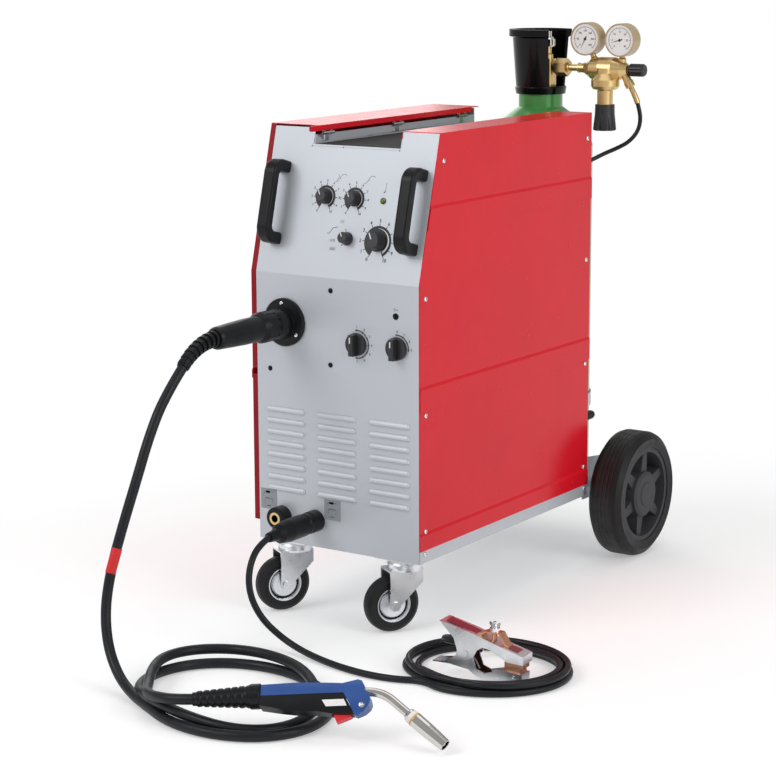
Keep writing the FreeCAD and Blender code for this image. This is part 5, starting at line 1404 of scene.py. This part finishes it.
def clamp_trim() -> None:
    """Torsion spring, painted grip faces, wing nut and rivets."""
    def spring(bm: bmesh.types.BMesh) -> None:
        coil = [CLAMP.at(SPRING_RADIUS * math.cos(t), SPRING_RADIUS * math.sin(t),
                         -SPRING_HALF + 2 * SPRING_HALF * t / (math.tau * SPRING_TURNS))
                for t in (math.tau * k / 20 for k in range(20 * SPRING_TURNS + 1))]
        legs = (((SPRING_RADIUS, 0), (20, 4), (31, 12.5)), ((SPRING_RADIUS, 0), (17, -12), (24, -24)))
        sleeve(bm, coil, SPRING_WIRE, 10)
        for leg, side in zip(legs, (-SPRING_HALF, SPRING_HALF)):
            sleeve(bm, [CLAMP.at(*p, side) for p in leg], SPRING_WIRE, 10)
    piece("clamp_spring", grow(spring, "clamp_spring"), "machine", [Finish.STEEL])

    def grip_inlay(bm: bmesh.types.BMesh) -> None:
        crest = ((-37, 49.2), (6, 38.3), (19, 34.6))
        for (u0, v0), (u1, v1) in (*zip(crest, crest[1:]), ((77, 18.1), (93, 13.9))):
            low, high = Vector((u0, v0, 0)), Vector((u1, v1, 0))
            along = (high - low).normalized()
            place = CLAMP.matrix() @ Matrix.Translation(low * MM) @ Matrix((
                (along.x, 0, -along.y, 0), (along.y, 0, along.x, 0), (0, 1, 0, 0), (0, 0, 0, 1)))
            block(bm, (0, -10, 0.0), ((high - low).length, 10, 0.35), place)
    piece("clamp_inlay", grow(grip_inlay, "clamp_inlay", False), "clamp_jaw", [Finish.MAROON])

    def wing(bm: bmesh.types.BMesh) -> None:
        place = CLAMP.matrix(47, 46.5, 0) @ Matrix.Rotation(-math.pi / 2, 4, "X")
        lathe(bm, [(0, 0), (5.2, 0), (5.2, 3.0), (3.2, 6.0), (3.2, 9.5), (2.4, 10.2), (0, 10.2)], place, 24)
        for side in (1, -1):
            leaf = [(side * a, b) for a, b in ((3.0, 0.4), (7.0, 2.0), (9.6, 6.6), (8.6, 9.4), (6.2, 8.2),
                                               (3.0, 4.4))]
            slab(bm, leaf if side > 0 else leaf[::-1], 3.0, place @ Matrix.Rotation(math.pi / 2, 4, "X")
                 @ Matrix.Translation((0, 0, -0.0015)))
    piece("clamp_wing_nut", grow(wing, "clamp_wing_nut"), "clamp_jaw", [Finish.CHROME])

    def rivets(bm: bmesh.types.BMesh) -> None:
        for spot in RIVET_PLACES:
            for side in (1, -1):
                place = (CLAMP.matrix(*spot, side * RIVET_FACE)
                         @ Matrix.Rotation(0 if side > 0 else math.pi, 4, "X"))
                lathe(bm, [(0, 0), (2.6, 0), (2.4, 0.8), (1.4, 1.2), (0, 1.3)], place, 20)
    piece("clamp_rivets", grow(rivets, "clamp_rivets"), "machine", [Finish.ZINC])


def socket_inserts() -> None:
    """Brass insert in the free earth socket."""
    def build(bm: bmesh.types.BMesh) -> None:
        place = FRONT.matrix(-118, 178)
        lathe(bm, [(6.55, 3), (6.55, 22.6), (7.2, 24.2), (11.2, 24.2), (11.2, 24.7), (6.9, 24.7),
                   (6.52, 23.6)], place, 40)
        lathe(bm, [(0, 2.1), (6.4, 2.1), (6.4, 2.6), (0, 2.6)], place, 32)
    piece("socket_insert", grow(build, "socket_insert"), "machine", [Finish.BRASS])


# ---------------------------------------------------------------- second finishes and painted shade on CAD faces
def second_finishes() -> None:
    """Paints parts of CAD nodes that carry another finish than the rest, and painted shade on some faces."""
    def off_axis(spot: Vector, axis_spot: Vector, way: Vector) -> float:
        """Distance in millimetres from a line."""
        run = spot - axis_spot
        return (run - way * run.dot(way)).length / MM

    floor_z = 836.5 * MM
    # All of the top channel but its floor turns front grey; the floor keeps the near-black paint, which is
    # painted shade.
    repaint("top_channel", Finish.FRONT_GREY, lambda c, n: not (n.z > 0.5 and c.z < floor_z + 0.002))
    hinges = [cab(-79, y, 853.5) for y in HINGE_PLACES]

    def near_hinge(spot: Vector) -> bool:
        """Whether a face lies on one of the hinges."""
        return any(abs(spot.y - h.y) < 0.0175 and abs(spot.x - h.x) < 0.0042
                   and -0.016 < spot.z - h.z < 0.0125 for h in hinges)

    repaint("top_channel", Finish.ZINC, lambda c, n: near_hinge(c) and c.x > cab(-82.6, 0, 0).x)
    repaint("feeder_door", Finish.ZINC, lambda c, n: near_hinge(c) and c.z < cab(0, 0, 866).z)
    turn = math.radians(-32.7)
    axle = Vector((math.cos(turn), math.sin(turn), 0))
    for name, side in (("left", -1), ("right", 1)):
        middle = cab(side * 117.5 + math.sin(turn) * 26, 36 - math.cos(turn) * 26, 50)
        repaint("caster_wheel_" + name, Finish.ZINC, lambda c, n: off_axis(c, middle, axle) < 31.1)
        repaint("caster_wheel_" + name, Finish.GLOSS_BLACK,
                lambda c, n: 24.3 < off_axis(c, middle, axle) < 27.2 and abs(n.dot(axle)) > 0.9)
        hub = cab(side * 216, 691, 122)
        repaint("rear_wheel_" + name, Finish.TYRE, lambda c, n: off_axis(c, hub, Vector((1, 0, 0))) > 91.2)
        repaint("rear_wheel_" + name, Finish.TREAD, lambda c, n: off_axis(c, hub, Vector((1, 0, 0))) > 119
                and abs(n.x) < 0.3)
    clamp = CLAMP.at(0, 0)
    # Inner faces of the clamp arms take the dark brown: painted shade between the plates.
    for arm in ("clamp_upper_arm", "clamp_lower_arm"):
        repaint(arm, Finish.BROWN, lambda c, n: n.dot(CLAMP.w) > 0.9 and (c - clamp).dot(CLAMP.w) < -0.002
                and (c - clamp).dot(CLAMP.u) < 0.040)
    repaint("clamp_lower_arm", Finish.BROWN,
            lambda c, n: n.dot(CLAMP.v) > 0.2 and abs((c - clamp).dot(CLAMP.w)) < 0.010
            and -0.030 < (c - clamp).dot(CLAMP.u) < 0.024)
    # The front-facing faces of the feeder door and the left lower panel take the deep red: painted shade.
    for node in ("feeder_door", "left_lower_panel"):
        repaint(node, Finish.RED_EDGE, lambda c, n: n.y < -0.5)
    bolt = CLAMP.at(47, 40)
    repaint("clamp_upper_contacts", Finish.CHROME,
            lambda c, n: off_axis(c, bolt, Vector((0, 0, 1))) < 8.7 and c.z > bolt.z)
    repaint("control_units", Finish.GREEN_LENS, lambda c, n: (c - SLOPE.at(77, 139, 2.5)).length < 0.0042)
    repaint("control_units", Finish.GLOSS_BLACK, lambda c, n: (c - FRONT.at(125, 559.4, 1)).length < 0.0065
            or 0.0042 < (c - SLOPE.at(77, 139, 1.4)).length < 0.0065)
    spool = cab(-104, 400, 625)
    repaint("wire_spool", Finish.KNOB, lambda c, n: off_axis(c, spool, Vector((1, 0, 0))) > 121
            or abs(c.x - spool.x) > 0.0485)


def main() -> None:
    Studio().build()
    dress_nodes()
    second_finishes()
    for lead in leads():
        lead.build()
    fasteners(Repeat("repeat"))
    for part in (*DIALS, *POINTERS, *GAUGES):
        part.build()
        LOG.info("%s done", part.name)
    for build in (slope_icons, step_dials, socket_plates, regulator_trim, lead_trim, torch_trim, clamp_trim,
                  socket_inserts):
        build()
        LOG.info("%s done", build.__name__)


if __name__ == "__main__":
    logging.basicConfig(level=logging.INFO)
    main()
